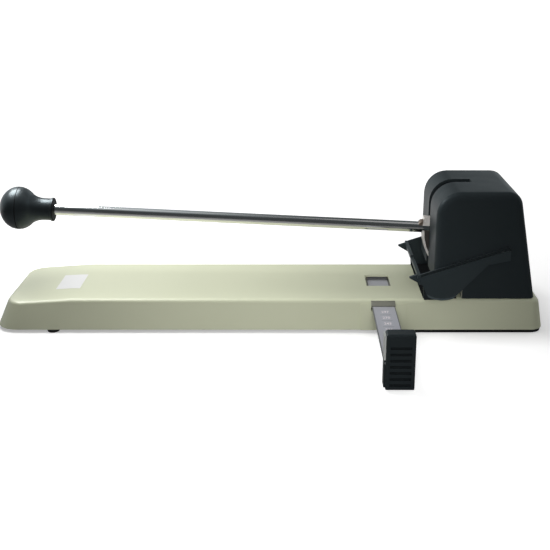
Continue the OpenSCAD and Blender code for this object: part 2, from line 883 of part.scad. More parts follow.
module crosshead() {
    color(dark_steel) difference() {
        block([-carriage_front, -carriage_hw, carriage_low], [rack_root_x, carriage_hw, carriage_top]);
        // Gap in the middle for the hub, with a bridge left at the rear
        block([-far_cut, -hub_t / 2 - hub_gap, 0], [-0.5, hub_t / 2 + hub_gap, far_cut]);
        block([-far_cut, -hub_t / 2 - hub_gap, bridge_top], [far_cut, hub_t / 2 + hub_gap, far_cut]);
        both_sides() {
            // Seat of the rack
            block([rack_back_x, rack_in, 0], [far_cut, rack_out, far_cut]);
            upright(0, hole_spacing / 2, punch_d + 2 * fit, 0, far_cut);
            upright(0, hole_spacing / 2, punch_head_d + 0.2, carriage_top - punch_head_h, far_cut);
            upright(post_x, post_y, post_d + 2 * run, 0, far_cut);
            translate([-far_cut, rack_mid, rack_screw_z]) rotate([0, 90, 0])
                cylinder(d = screw_d + shank_room, h = 2 * far_cut);
            translate([-carriage_front - 1, rack_mid, rack_screw_z]) rotate([0, 90, 0])
                cylinder(d = small_head_d + head_room, h = rack_sink + 1);
            upright(0, keeper_y, screw_d + 2 * fit, carriage_top - keeper_bite - 1, far_cut);
        }
    }
}

// Place of the keeper's screw, between the punch and its guide post
keeper_y = hole_spacing / 2 - punch_head_d / 2 - 2.2;

// A straight-sided rack tooth, drawn at its pitch line
module rack_tooth() {
    slope = tan(pressure);
    low = -1.25 * gear_module - 1;
    polygon([
        [low, tooth_w / 2 - low * slope], [gear_module, tooth_w / 2 - gear_module * slope],
        [gear_module, -tooth_w / 2 + gear_module * slope], [low, -tooth_w / 2 + low * slope]
    ]);
}

module rack() {
    first = floor((pivot_z - carriage_low) / pitch - 0.5);
    color(steel) difference() {
        union() {
            block([rack_back_x, rack_in, carriage_low], [rack_root_x, rack_out, rack_top]);
            intersection() {
                side_slab(rack_in, rack_out) for (k = [-first:1])
                    translate([rack_pitch_x, pivot_z + (k - 0.5) * pitch]) rack_tooth();
                block([rack_back_x, rack_in, carriage_low], [far_cut, rack_out, rack_top]);
            }
        }
        translate([-far_cut, rack_mid, rack_screw_z]) rotate([0, 90, 0])
            cylinder(d = screw_d + 2 * fit, h = far_cut + rack_root_x - 1);
    }
}

module rack_near() { mirror([0, 1, 0]) rack(); }
module rack_far() { rack(); }

module rack_screws() {
    color(dark_steel) both_sides() translate([0, rack_mid, rack_screw_z]) rotate([0, 90, 0]) {
        translate([0, 0, rack_sink - small_head_h - carriage_front])
            cylinder(d = small_head_d, h = small_head_h);
        translate([0, 0, rack_sink - 0.01 - carriage_front])
            cylinder(d = screw_d, h = rack_root_x + carriage_front - rack_sink - 1.6);
    }
}

// Punches: a headed pin with a hollow-ground end that leaves two cutting points
module punches() {
    notch_r = punch_d * 0.75;
    color(bright) both_sides() difference() {
        union() {
            upright(0, hole_spacing / 2, punch_d, punch_tip, carriage_top - punch_head_h + 0.01);
            upright(0, hole_spacing / 2, punch_head_d, carriage_top - punch_head_h, carriage_top);
        }
        cross_pin(0, punch_tip - notch_r + 1.6, 2 * notch_r, 0, far_cut);
    }
}

module punch_keepers() {
    half = punch_head_d / 2;
    color(steel) both_sides() difference() {
        block(
            [-half, keeper_y - small_head_d / 2, carriage_top],
            [half, hole_spacing / 2 + half, carriage_top + keeper_t]
        );
        upright(0, keeper_y, screw_d + shank_room, 0, far_cut);
    }
}

module keeper_screws() {
    head_top_z = carriage_top + keeper_t;
    color(dark_steel) both_sides() {
        upright(0, keeper_y, small_head_d, head_top_z, head_top_z + small_head_h);
        upright(0, keeper_y, screw_d, carriage_top - keeper_bite, head_top_z + 0.01);
    }
}

// Paper guard

// Side outline of an arm: a straight rail that widens into a round lobe, with or without
// the corner in front of the lobe
module arm_outline(corner) {
    pin = [guard_pin_x, guard_pin_z];
    lobe_end = corner ? -90 : -118;
    polygon(concat(
        [[bar_x + 0.2, bar_high + 0.2], pin + [4.5, 6.6], pin + [6, 5.6], pin + [6, -5.2]],
        [pin + [-13.3, -9.4]],
        [for (a = [-69:-7:lobe_end]) lobe + lobe_r * [cos(a), sin(a)]],
        corner ? [[bar_x + 5, lobe[1] - lobe_r]] : [],
        [[bar_x + 3.9, bar_low - 8.1], [bar_x - 0.2, bar_low + 1]]
    ));
}

module paper_guard() {
    skin = 1.4;
    skin_drop = 2.6;
    notch = 12;
    color(black) difference() {
        union() {
            both_sides() {
                side_slab(guard_in, guard_out - skin) arm_outline(true);
                // Outer face, which leaves a step along the top of the arm
                side_slab(guard_out - skin - 0.01, guard_out) intersection() {
                    arm_outline(false);
                    translate([0, -skin_drop]) arm_outline(false);
                }
                // Pointers that show the paper's edge
                side_slab(guard_in - 0.7 - pointer_t, guard_in - 0.7) polygon([
                    [bar_x + bar_half, bar_high], [bar_x - bar_half - pointer_len, bar_high - 1.8],
                    [bar_x + 3, bar_high - 10.3]
                ]);
                block([bar_x - bar_half, guard_in - 1, bar_low], [bar_x + bar_half, guard_in + 1, bar_high]);
                block([bar_x, guard_in - 1, bar_high - 9], [bar_x + 4, guard_in + 1, bar_low + 1]);
            }
            block([bar_x - bar_half, -guard_out, bar_low], [bar_x + bar_half, guard_out, bar_high]);
        }
        // Room for the lever in the front bar
        block([bar_x - 5, -notch / 2, bar_high - 1.3], [bar_x + 5, notch / 2, far_cut]);
        both_sides() cross_pin(guard_pin_x, guard_pin_z, guard_pin_d + 2 * run, 0, guard_out - 1);
    }
}

// Paper guide

// Folded channel under the base top in which the bar slides
module guide_channel() {
    inner = bar_w / 2 + slide_gap;
    outer = inner + channel_wall;
    color(dark_steel) translate([-guide_x, 0, 0]) difference() {
        block([-outer, -channel_half, channel_low], [outer, channel_half, inner_top]);
        block([-inner, -far_cut, bar_low_z - slide_gap], [inner, far_cut, bar_top + slide_gap]);
        block([-inner + lip_w, -far_cut, bar_low_z], [inner - lip_w, far_cut, far_cut]);
        block([-inner, -window_half - 1, bar_low_z], [inner, window_half + 1, far_cut]);
        // Slot for the stop screw, open at the far end
        block(
            [-slot_screw_d / 2 - 1.6, slot_screw_y - guide_out - 2.8, 0],
            [slot_screw_d / 2 + 1.6, far_cut, bar_low_z]
        );
        // Window for the detent spring
        block([-4.5, -30, 0], [4.5, -2, bar_low_z]);
    }
}

// Bowed leaf that presses the bar from below, held by its turned ends
module detent_spring() {
    leaf_t = 0.6;
    rise_r = 60;
    half = 14;
    top = bar_low_z - 0.1;
    color(steel) translate([-guide_x - 4, -16, 0]) intersection() {
        translate([0, 0, top - rise_r]) rotate([0, 90, 0]) difference() {
            cylinder(r = rise_r, h = 8, $fn = 180);
            translate([0, 0, -1]) cylinder(r = rise_r - leaf_t, h = 10, $fn = 180);
        }
        block([-1, -half + 0.05, channel_low], [9, half - 0.05, far_cut]);
    }
}

module guide_bar() {
    end = stop_at + stop_t - stop_face;
    color(bright) translate([-guide_x, 0, 0]) difference() {
        translate([0, 0, bar_low_z]) linear_extrude(bar_t)
            translate([-bar_w / 2, -end]) square([bar_w, end + bar_past]);
        upright(0, slot_screw_y, slot_screw_d + 2 * fit, 0, far_cut);
    }
}

// Finger stop with a grooved front
module guide_stop() {
    round_r = 2;
    front = -stop_at - stop_t;
    groove_r = 1.1;
    groove_in = 3.2;
    groove_low = stop_low + 4.5;
    step = (0.76 * stop_h - 4.5) / (groove_count - 1);
    color(black) translate([stop_x, 0, 0]) difference() {
        intersection() {
            translate([0, 0, stop_low]) linear_extrude(stop_h)
                soft_rect([-stop_w / 2, front], [stop_w / 2, -stop_at + round_r], round_r);
            side_slab(front, -stop_at + 1)
                soft_rect([-stop_w / 2, stop_low], [stop_w / 2, stop_low + stop_h], round_r);
            translate([-stop_w / 2, 0, 0]) rotate([90, 0, 90]) linear_extrude(stop_w)
                soft_rect([front, stop_low], [-stop_at + round_r, stop_low + stop_h], round_r);
        }
        block([-stop_w, -stop_at - 1, 0], [stop_w, far_cut, far_cut]);
        for (k = [0:groove_count - 1])
            translate([-stop_w / 2 + groove_in, front, groove_low + k * step])
                rotate([0, 90, 0]) cylinder(r = groove_r, h = stop_w - 2 * groove_in);
        // Pocket for the bar
        block(
            [-stop_shift - bar_w / 2 - fit, -stop_at - stop_t + stop_face - fit, bar_low_z - fit],
            [-stop_shift + bar_w / 2 + fit, far_cut, bar_top + fit]
        );
        for (z = stop_screw_z)
            cross_pin(0, z, stop_screw_d + 2 * fit, -stop_at - stop_bite - 1, far_cut);
    }
}

// Heights of the two screws of the stop, their diameter and how deep they bite
stop_screw_z = [stop_low + 9, stop_low + stop_h - 9];
stop_screw_d = 2;
stop_bite = 6;

// Bent steel plate: the sheets rest on its inner leaf, and its side leaf covers one side of the stop
module stop_plate() {
    margin = 2;
    color(steel) translate([stop_x, 0, 0]) difference() {
        union() {
            block(
                [-stop_w / 2 - stop_in_t, -stop_at - 1, stop_low + margin],
                [stop_w / 2 - margin, -stop_at - 1 + stop_in_t, stop_low + stop_h - margin]
            );
            block(
                [-stop_w / 2 - stop_in_t, -stop_at - stop_t + margin, stop_low + margin],
                [-stop_w / 2, -stop_at - 0.5, stop_low + stop_h - margin]
            );
        }
        block(
            [-stop_w, -far_cut, bar_low_z - fit],
            [-stop_shift + bar_w / 2 + fit, far_cut, bar_top + fit]
        );
        for (z = stop_screw_z) cross_pin(0, z, stop_screw_d + shank_room, -far_cut, 0);
    }
}

module stop_screws() {
    seat = -stop_at - 1 + stop_in_t;
    color(steel) translate([stop_x, 0, 0]) for (z = stop_screw_z) {
        cross_pin(0, z, 2 * stop_screw_d, seat, seat + stop_screw_d / 2);
        cross_pin(0, z, stop_screw_d, -stop_at - stop_bite, seat + 0.01);
    }
}

module slot_screw() {
    color(steel) translate([-guide_x, 0, 0]) {
        upright(0, slot_screw_y, slot_screw_d, bar_low_z - 1.5, bar_top - 0.3);
        upright(0, slot_screw_y, slot_screw_d + 2, bar_low_z - 2.4, bar_low_z - 0.01);
    }
}

// Chip tray

module chip_tray() {
    rear_low = base_rear - (tray_low - foot_h) * tan(rear_draft) - 0.3;
    rear_high = base_rear - (tray_top - foot_h) * tan(rear_draft) - 0.3;
    color(black) {
        difference() {
            block([-tray_front, -tray_hw, tray_low], [rear_high - panel_t, tray_hw, tray_top]);
            block([-tray_front + tray_wall, -tray_hw + tray_wall, tray_low + tray_wall],
                  [rear_high - panel_t - tray_wall, tray_hw - tray_wall, far_cut]);
        }
        difference() {
            side_slab(-tray_hw, tray_hw) polygon([
                [rear_high - panel_t - 0.5, tray_low], [rear_low, tray_low], [rear_high, tray_top],
                [rear_high - panel_t - 0.5, tray_top]
            ]);
            // Finger scoop under the panel
            translate([rear_low, 0, tray_low]) rotate([0, 90, 0]) cylinder(d = 26, h = 6, center = true);
        }
    }
}

base_cover();
front_pan();
front_feet();
pan_screws();
bottom_plate();
plate_screws();
bed_rails();
bed_plate();
bed_screws();
die_bushes();
pedestal();
back_stop();
guide_plate();
punch_bushes();
guide_posts();
lever_bracket();
frame_bolts();
lever_shaft();
retaining_rings();
thrust_washers();
head_cover();
cover_screws();
guard_pins();
guide_channel();
detent_spring();
lever_hub();
lever_rod();
lever_knob();
hub_bush();
pinion_near();
pinion_far();
hub_dowels();
crosshead();
rack_near();
rack_far();
rack_screws();
punches();
punch_keepers();
keeper_screws();
paper_guard();
guide_bar();
guide_stop();
stop_plate();
stop_screws();
slot_screw();
chip_tray();
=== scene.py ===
"""Looks of a heavy duty two-hole paper punch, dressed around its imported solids.

The scene is in metres, and the sizes of the sub-assemblies are in millimetres. The origin
lies on the table, midway between the two punches. The lever points to -X, the rear is +X,
the paper guide comes out at -Y and Z is up.
"""

import json
import logging
import math
from collections.abc import Callable
from dataclasses import dataclass, field, replace
from enum import Enum

import bpy
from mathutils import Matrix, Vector

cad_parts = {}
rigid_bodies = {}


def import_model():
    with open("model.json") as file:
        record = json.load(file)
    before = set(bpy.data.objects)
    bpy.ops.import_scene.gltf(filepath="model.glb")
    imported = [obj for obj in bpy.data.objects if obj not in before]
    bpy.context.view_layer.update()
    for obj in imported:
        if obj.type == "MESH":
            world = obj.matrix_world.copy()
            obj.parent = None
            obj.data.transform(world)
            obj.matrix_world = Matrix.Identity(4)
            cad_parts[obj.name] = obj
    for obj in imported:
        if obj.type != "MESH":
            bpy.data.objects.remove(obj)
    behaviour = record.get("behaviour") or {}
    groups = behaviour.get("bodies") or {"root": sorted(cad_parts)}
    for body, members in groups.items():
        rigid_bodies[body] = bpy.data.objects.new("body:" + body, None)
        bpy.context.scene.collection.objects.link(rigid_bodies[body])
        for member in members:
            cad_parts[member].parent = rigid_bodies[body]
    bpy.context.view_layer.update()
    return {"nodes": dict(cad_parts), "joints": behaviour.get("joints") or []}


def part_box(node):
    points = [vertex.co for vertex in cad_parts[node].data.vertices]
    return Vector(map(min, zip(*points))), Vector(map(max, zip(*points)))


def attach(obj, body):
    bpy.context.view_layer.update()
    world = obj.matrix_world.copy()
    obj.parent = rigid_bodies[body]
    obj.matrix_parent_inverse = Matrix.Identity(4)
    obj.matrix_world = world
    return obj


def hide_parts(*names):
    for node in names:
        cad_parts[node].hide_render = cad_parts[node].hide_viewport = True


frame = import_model()

log = logging.getLogger("paper_punch")
logging.basicConfig(level=logging.INFO, format="%(name)s: %(message)s")

Colour = tuple[float, float, float]
Place = tuple[float, float, float]
Pair = tuple[float, float]
Piece = bpy.types.Object
Face = bpy.types.MeshPolygon
Socket = bpy.types.NodeSocket
Feed = Socket | float | Vector | tuple[float, ...]

MM = 0.001
TO_REAR = Vector((1.0, 0.0, 0.0))
TO_FAR = Vector((0.0, 1.0, 0.0))
UP = Vector((0.0, 0.0, 1.0))
SAME_POINT = 0.002 * MM
SLIVER = 0.005 * MM
FLAT_ANGLE = math.radians(0.4)
SHARP_ANGLE = math.radians(32.0)
ROUND_CELLS = 3
MOTTLE_DETAIL = 5.0
MOTTLE_SPAN = (0.3, 0.7)
GRAIN_DETAIL = 2.0
BUMP_STRENGTH = 0.6
WHITE: Colour = (1.0, 1.0, 1.0)


class Grain(Enum):
    """Direction in which a finish is streaked, as the scale of its pattern along X, Y and Z."""

    EVEN = (1.0, 1.0, 1.0)
    ALONG_X = (0.04, 1.0, 1.0)
    ALONG_Y = (1.0, 0.04, 1.0)
    ALONG_Z = (1.0, 1.0, 0.04)


class Side(Enum):
    """Side of the punch, as the sign of Y."""

    NEAR = -1
    FAR = 1


class LampKind(Enum):
    """Kind of studio lamp, by Blender's name."""

    SUN = "SUN"
    AREA = "AREA"


@dataclass(frozen=True)
class Ramp:
    """Straight ramp between two values, from a first level to a last one."""

    start: float
    end: float
    first: float = 0.0
    last: float = 1.0


class Wiring:
    """Node tree of a material or of the world, wired from values and sockets."""

    def __init__(self, owner: bpy.types.Material | bpy.types.World) -> None:
        """Turns on the owner's node tree and keeps it."""
        owner.use_nodes = True
        self.tree = owner.node_tree

    def node(self, kind: str) -> bpy.types.Node:
        """Adds a node of one kind."""
        return self.tree.nodes.new("ShaderNode" + kind)

    def feed(self, node: bpy.types.Node, values: dict[str | int, Feed]) -> None:
        """Feeds sockets of a node, by a link from another socket or by a constant.

        Args:
            node: Node that is fed.
            values: Name or number of each socket, with what feeds it.
        """
        for name, value in values.items():
            if isinstance(value, Socket):
                self.tree.links.new(value, node.inputs[name])
            else:
                node.inputs[name].default_value = value

    def math(self, operation: str, *values: Feed, kind: str = "Math", result: str = "Value") -> Socket:
        """Adds a sum.

        Args:
            operation: Blender's name of the sum.
            *values: Its terms.
            kind: Math for numbers, VectorMath for vectors.
            result: Name of the socket that gives the result.

        Returns:
            That socket.
        """
        step = self.node(kind)
        step.operation = operation
        self.feed(step, dict(enumerate(values)))
        return step.outputs[result]

    def mix(self, factor: Feed, first: Feed, second: Feed) -> Socket:
        """Adds a blend of two numbers, or of two colours where they are given as tuples.

        Args:
            factor: Share of the second one.
            first: Number or colour at 0.
            second: Number or colour at 1.

        Returns:
            The socket that gives the blend.
        """
        blend = self.node("Mix")
        if isinstance(second, tuple):
            blend.data_type = "RGBA"
        self.feed(blend, {"Factor": factor, "A": first, "B": second})
        return blend.outputs["Result"]

    def ramp(self, source: Socket, ramp: Ramp) -> Socket:
        """Adds a straight ramp from one level to another.

        Args:
            source: Socket that gives the value.
            ramp: Ends of the ramp.

        Returns:
            The socket that gives the level.
        """
        node = self.node("MapRange")
        self.feed(node, {"Value": source, "From Min": ramp.start, "From Max": ramp.end,
                         "To Min": ramp.first, "To Max": ramp.last})
        return node.outputs["Result"]

    def noise(self, place: Socket, scale: float, detail: float) -> Socket:
        """Adds a noise pattern.

        Args:
            place: Socket that gives the coordinates.
            scale: Scale of the pattern, per metre.
            detail: Octaves of the pattern.

        Returns:
            The socket that gives the pattern.
        """
        noise = self.node("TexNoise")
        self.feed(noise, {"Vector": place, "Scale": scale, "Detail": detail})
        return noise.outputs["Fac"]

    def apart(self, way: Socket) -> list[Socket]:
        """Parts a place or a direction.

        Args:
            way: Socket that gives it.

        Returns:
            The sockets that give its X, Y and Z.
        """
        parts = self.node("SeparateXYZ")
        self.feed(parts, {"Vector": way})
        return list(parts.outputs)


@dataclass(frozen=True)
class Texture:
    """Pattern of a finish: mottle and grain per metre, depth of the grain in millimetres, and direction."""

    mottle: float = 60.0
    grain: float = 1500.0
    depth: float = 0.03
    direction: Grain = Grain.EVEN


@dataclass(frozen=True)
class Finish:
    """A surface finish, made as one procedural material on Object coordinates."""

    name: str
    slot: str
    colour: Colour
    other: Colour
    roughness: Pair
    texture: Texture = Texture()
    metallic: float = 0.0
    specular: float = 0.5
    gloss_tint: Colour = WHITE

    def material(self) -> bpy.types.Material:
        """Makes the material, or finds it if it is already there.

        Returns:
            The material with its node tree.
        """
        found = bpy.data.materials.get(self.name)
        if found:
            return found
        made = bpy.data.materials.new(self.name)
        wires = Wiring(made)
        turn = wires.node("Mapping")
        wires.feed(turn, {"Vector": wires.node("TexCoord").outputs["Object"],
                          "Scale": self.texture.direction.value})
        place = turn.outputs["Vector"]
        mottle = wires.noise(place, self.texture.mottle, MOTTLE_DETAIL)
        bump = wires.node("Bump")
        wires.feed(bump, {"Strength": BUMP_STRENGTH, "Distance": self.texture.depth * MM,
                          "Height": wires.noise(place, self.texture.grain, GRAIN_DETAIL)})
        wires.feed(wires.tree.nodes["Principled BSDF"], {
            "Base Color": wires.mix(mottle, (*self.colour, 1.0), (*self.other, 1.0)),
            "Roughness": wires.ramp(mottle, Ramp(*MOTTLE_SPAN, *self.roughness)),
            "Normal": bump.outputs["Normal"],
            "Metallic": self.metallic,
            "Specular IOR Level": self.specular,
            "Specular Tint": (*self.gloss_tint, 1.0),
        })
        return made

    def on(self, piece: Piece) -> None:
        """Gives a piece this finish in all its faces."""
        piece.data.materials.clear()
        piece.data.materials.append(self.material())

    def on_faces(self, piece: Piece, chosen: Callable[[Face], bool]) -> None:
        """Gives some faces of a dressed piece this finish.

        Args:
            piece: Piece that already has its main finish.
            chosen: Test that says which faces take this one.
        """
        piece.data.materials.append(self.material())
        place = len(piece.data.materials) - 1
        for face in piece.data.polygons:
            if chosen(face):
                face.material_index = place

    def on_node(self, node: str) -> None:
        """Gives a CAD node this finish through its material slots.

        Args:
            node: Name of the CAD node.
        """
        solid = frame["nodes"][node]
        if not solid.material_slots:
            solid.data.materials.append(self.material())
        for place in solid.material_slots:
            place.material = self.material()


COLD_GLOSS: Colour = (0.76, 0.93, 1.0)

ENAMEL = Finish("base_enamel", "base_paint", (0.6, 0.622, 0.455), (0.63, 0.652, 0.482), (0.42, 0.5),
                Texture(14.0, 520.0, 0.02), specular=0.65)
HEAD_BLACK = Finish("head_black", "head_paint", (0.0238, 0.0308, 0.0338), (0.0277, 0.0349, 0.0382),
                    (0.4, 0.48), Texture(40.0, 1400.0), specular=0.11, gloss_tint=COLD_GLOSS)
PLATE_BLACK = Finish("plate_black", "black_metal", (0.012, 0.013, 0.014), (0.018, 0.019, 0.02),
                     (0.38, 0.5), Texture(50.0, 1100.0, 0.02), specular=0.25)
BED_BLACK = Finish("bed_black", "black_metal", (0.011, 0.012, 0.013), (0.015, 0.016, 0.017),
                   (0.6, 0.7), Texture(50.0, 1100.0, 0.02), specular=0.02)
DARK_IRON = Finish("oiled_iron", "dark_metal", (0.045, 0.045, 0.047), (0.075, 0.075, 0.078),
                   (0.4, 0.55), Texture(70.0, 900.0), metallic=0.85)
GROUND_STEEL = Finish("ground_steel", "tool_steel", (0.42, 0.43, 0.44), (0.52, 0.53, 0.54),
                      (0.24, 0.36), Texture(900.0, 2400.0, 0.01, Grain.ALONG_Y), metallic=1.0)
POLISHED_STEEL = Finish("polished_steel", "bright_steel", (0.62, 0.63, 0.64), (0.7, 0.7, 0.71),
                        (0.1, 0.16), Texture(120.0, 2000.0, 0.004), metallic=1.0)
ZINC = Finish("zinc_screws", "screw_steel", (0.42, 0.42, 0.43), (0.5, 0.5, 0.5),
              (0.28, 0.4), Texture(300.0, 2200.0, 0.01), metallic=1.0)
BRONZE = Finish("bearing_bronze", "bronze", (0.42, 0.26, 0.11), (0.5, 0.33, 0.15),
                (0.28, 0.4), Texture(200.0, 2000.0, 0.01), metallic=1.0)
FOOT_RUBBER = Finish("foot_rubber", "rubber", (0.012, 0.012, 0.012), (0.02, 0.02, 0.02),
                     (0.7, 0.85), Texture(200.0, 1500.0, 0.05))
ROD_CHROME = Finish("rod_bright", "rod_chrome", (0.91, 0.91, 0.91), (0.95, 0.95, 0.95),
                    (0.1, 0.17), Texture(160.0, 2600.0, 0.004, Grain.ALONG_X), metallic=1.0)
# Painted shade: the hub's lower near side, a dark copy of its bright metal.
HUB_SHADE = Finish("hub_bright", "hub_chrome", (0.085, 0.075, 0.068), (0.045, 0.042, 0.04),
                    (0.3, 0.4), Texture(160.0, 2400.0, 0.01, Grain.ALONG_X), metallic=0.2, specular=0.3)
# Painted highlight: the hub's rim and its half above the rod, a bright copy of its metal.
HUB_HIGHLIGHT = Finish("hub_rim", "hub_chrome", (0.95, 0.935, 0.915), (0.66, 0.6, 0.55),
                 (0.2, 0.3), Texture(190.0, 2400.0, 0.01), metallic=0.1, specular=0.8)
BRAZE = Finish("brazed_joint", "hub_chrome", (0.13, 0.1, 0.082), (0.24, 0.19, 0.15),
               (0.4, 0.5), Texture(400.0, 2000.0), metallic=0.4)
KNOB_BLACK = Finish("knob_black", "knob", (0.01, 0.0122, 0.0134), (0.0128, 0.0152, 0.0166),
                    (0.32, 0.38), Texture(60.0, 900.0, 0.01), specular=0.6, gloss_tint=COLD_GLOSS)
# Painted shade in the knob's parting groove and in the hollow of its neck's end, also less glossy.
KNOB_SHADE = Finish("knob_end", "knob", (0.006, 0.007, 0.008), (0.008, 0.009, 0.01),
                  (0.6, 0.7), Texture(90.0, 1200.0, 0.02), specular=0.1)
GUARD_BLACK = Finish("guard_black", "guard_plastic", (0.029, 0.038, 0.0415), (0.034, 0.0435, 0.047),
                     (0.34, 0.44), specular=0.3, gloss_tint=COLD_GLOSS)
# Painted highlight: the guard's round lower edge, a lighter copy of its plastic.
GUARD_HIGHLIGHT = replace(GUARD_BLACK, name="guard_rim",
                    colour=(0.068, 0.087, 0.093), other=(0.078, 0.098, 0.104))
# Painted shade: the guard's recessed faces, a darker copy of its plastic.
GUARD_SHADE = Finish("guard_recess", "guard_plastic", (0.0165, 0.0213, 0.0235), (0.02, 0.0255, 0.0277),
                      (0.5, 0.6), specular=0.15)
STOP_BLACK = Finish("stop_black", "stop_plastic", (0.0135, 0.0173, 0.019), (0.0172, 0.0213, 0.023),
                    (0.4, 0.5), specular=0.3, gloss_tint=COLD_GLOSS)
# Painted shade in the grooves of the stop.
STOP_GROOVE_SHADE = Finish("stop_groove", "stop_plastic", (0.0088, 0.0114, 0.0126), (0.0108, 0.0138, 0.015),
                     (0.55, 0.65), specular=0.1)
STOP_LEAF = Finish("stop_leaf", "tool_steel", (0.6, 0.62, 0.6), (0.66, 0.68, 0.66),
                   (0.3, 0.4), Texture(300.0, 2400.0, 0.01, Grain.ALONG_Z), metallic=0.3)
BAR_STEEL = Finish("bar_steel", "guide_bar", (0.52, 0.525, 0.575), (0.56, 0.565, 0.615),
                   (0.3, 0.4), Texture(500.0, 2600.0, 0.008, Grain.ALONG_Y), metallic=0.3)
BAR_EDGE = replace(BAR_STEEL, name="bar_edge", colour=(0.17, 0.175, 0.18), other=(0.21, 0.215, 0.22),
                   roughness=(0.35, 0.45))
TRAY_BLACK = Finish("tray_black", "tray_plastic", (0.013, 0.013, 0.014), (0.018, 0.018, 0.019),
                    (0.42, 0.55), Texture(60.0, 1300.0))
CHANNEL_STEEL = Finish("channel_steel", "dark_metal", (0.2, 0.2, 0.165), (0.25, 0.25, 0.21),
                       (0.4, 0.55), Texture(120.0, 1600.0, 0.02, Grain.ALONG_Y), metallic=0.3)
LABEL_WHITE = Finish("label_white", "base_paint", (0.74, 0.74, 0.735), (0.77, 0.77, 0.765),
                     (0.5, 0.6), Texture(80.0, 1800.0, 0.01))
BACK_PLATE = Finish("back_plate", "tool_steel", (0.33, 0.33, 0.27), (0.38, 0.38, 0.31),
                    (0.4, 0.5), Texture(160.0, 1800.0, 0.01), metallic=0.2)
MARK_PALE = Finish("mark_pale", "guide_bar", (0.92, 0.85, 0.87), (0.95, 0.89, 0.91),
                   (0.5, 0.6), Texture(200.0, 2000.0, 0.005))
MARK_DARK = replace(MARK_PALE, name="mark_dark", colour=(0.21, 0.21, 0.225), other=(0.25, 0.25, 0.265))


@dataclass(frozen=True)
class Recess:
    """Cross recess in a screw head, in millimetres."""

    span: float
    width: float
    depth: float

    def bars(self, middle: Vector, facing: Vector) -> list[Piece]:
        """Makes the two crossed bars that cut the recess.

        Args:
            middle: Middle of the head's face, in metres.
            facing: Way in which the head faces, along an axis.

        Returns:
            The bars, square to each other.
        """
        first = facing.yzx
        second = facing.cross(first)
        made = []
        for long, short in ((first, second), (second, first)):
            half = long * self.span / 2 + short * self.width / 2 + facing * self.depth
            half = Vector([abs(h) for h in half]) * MM
            made.append(Bench.plate("cross_bar", middle - half, middle + half))
        return made


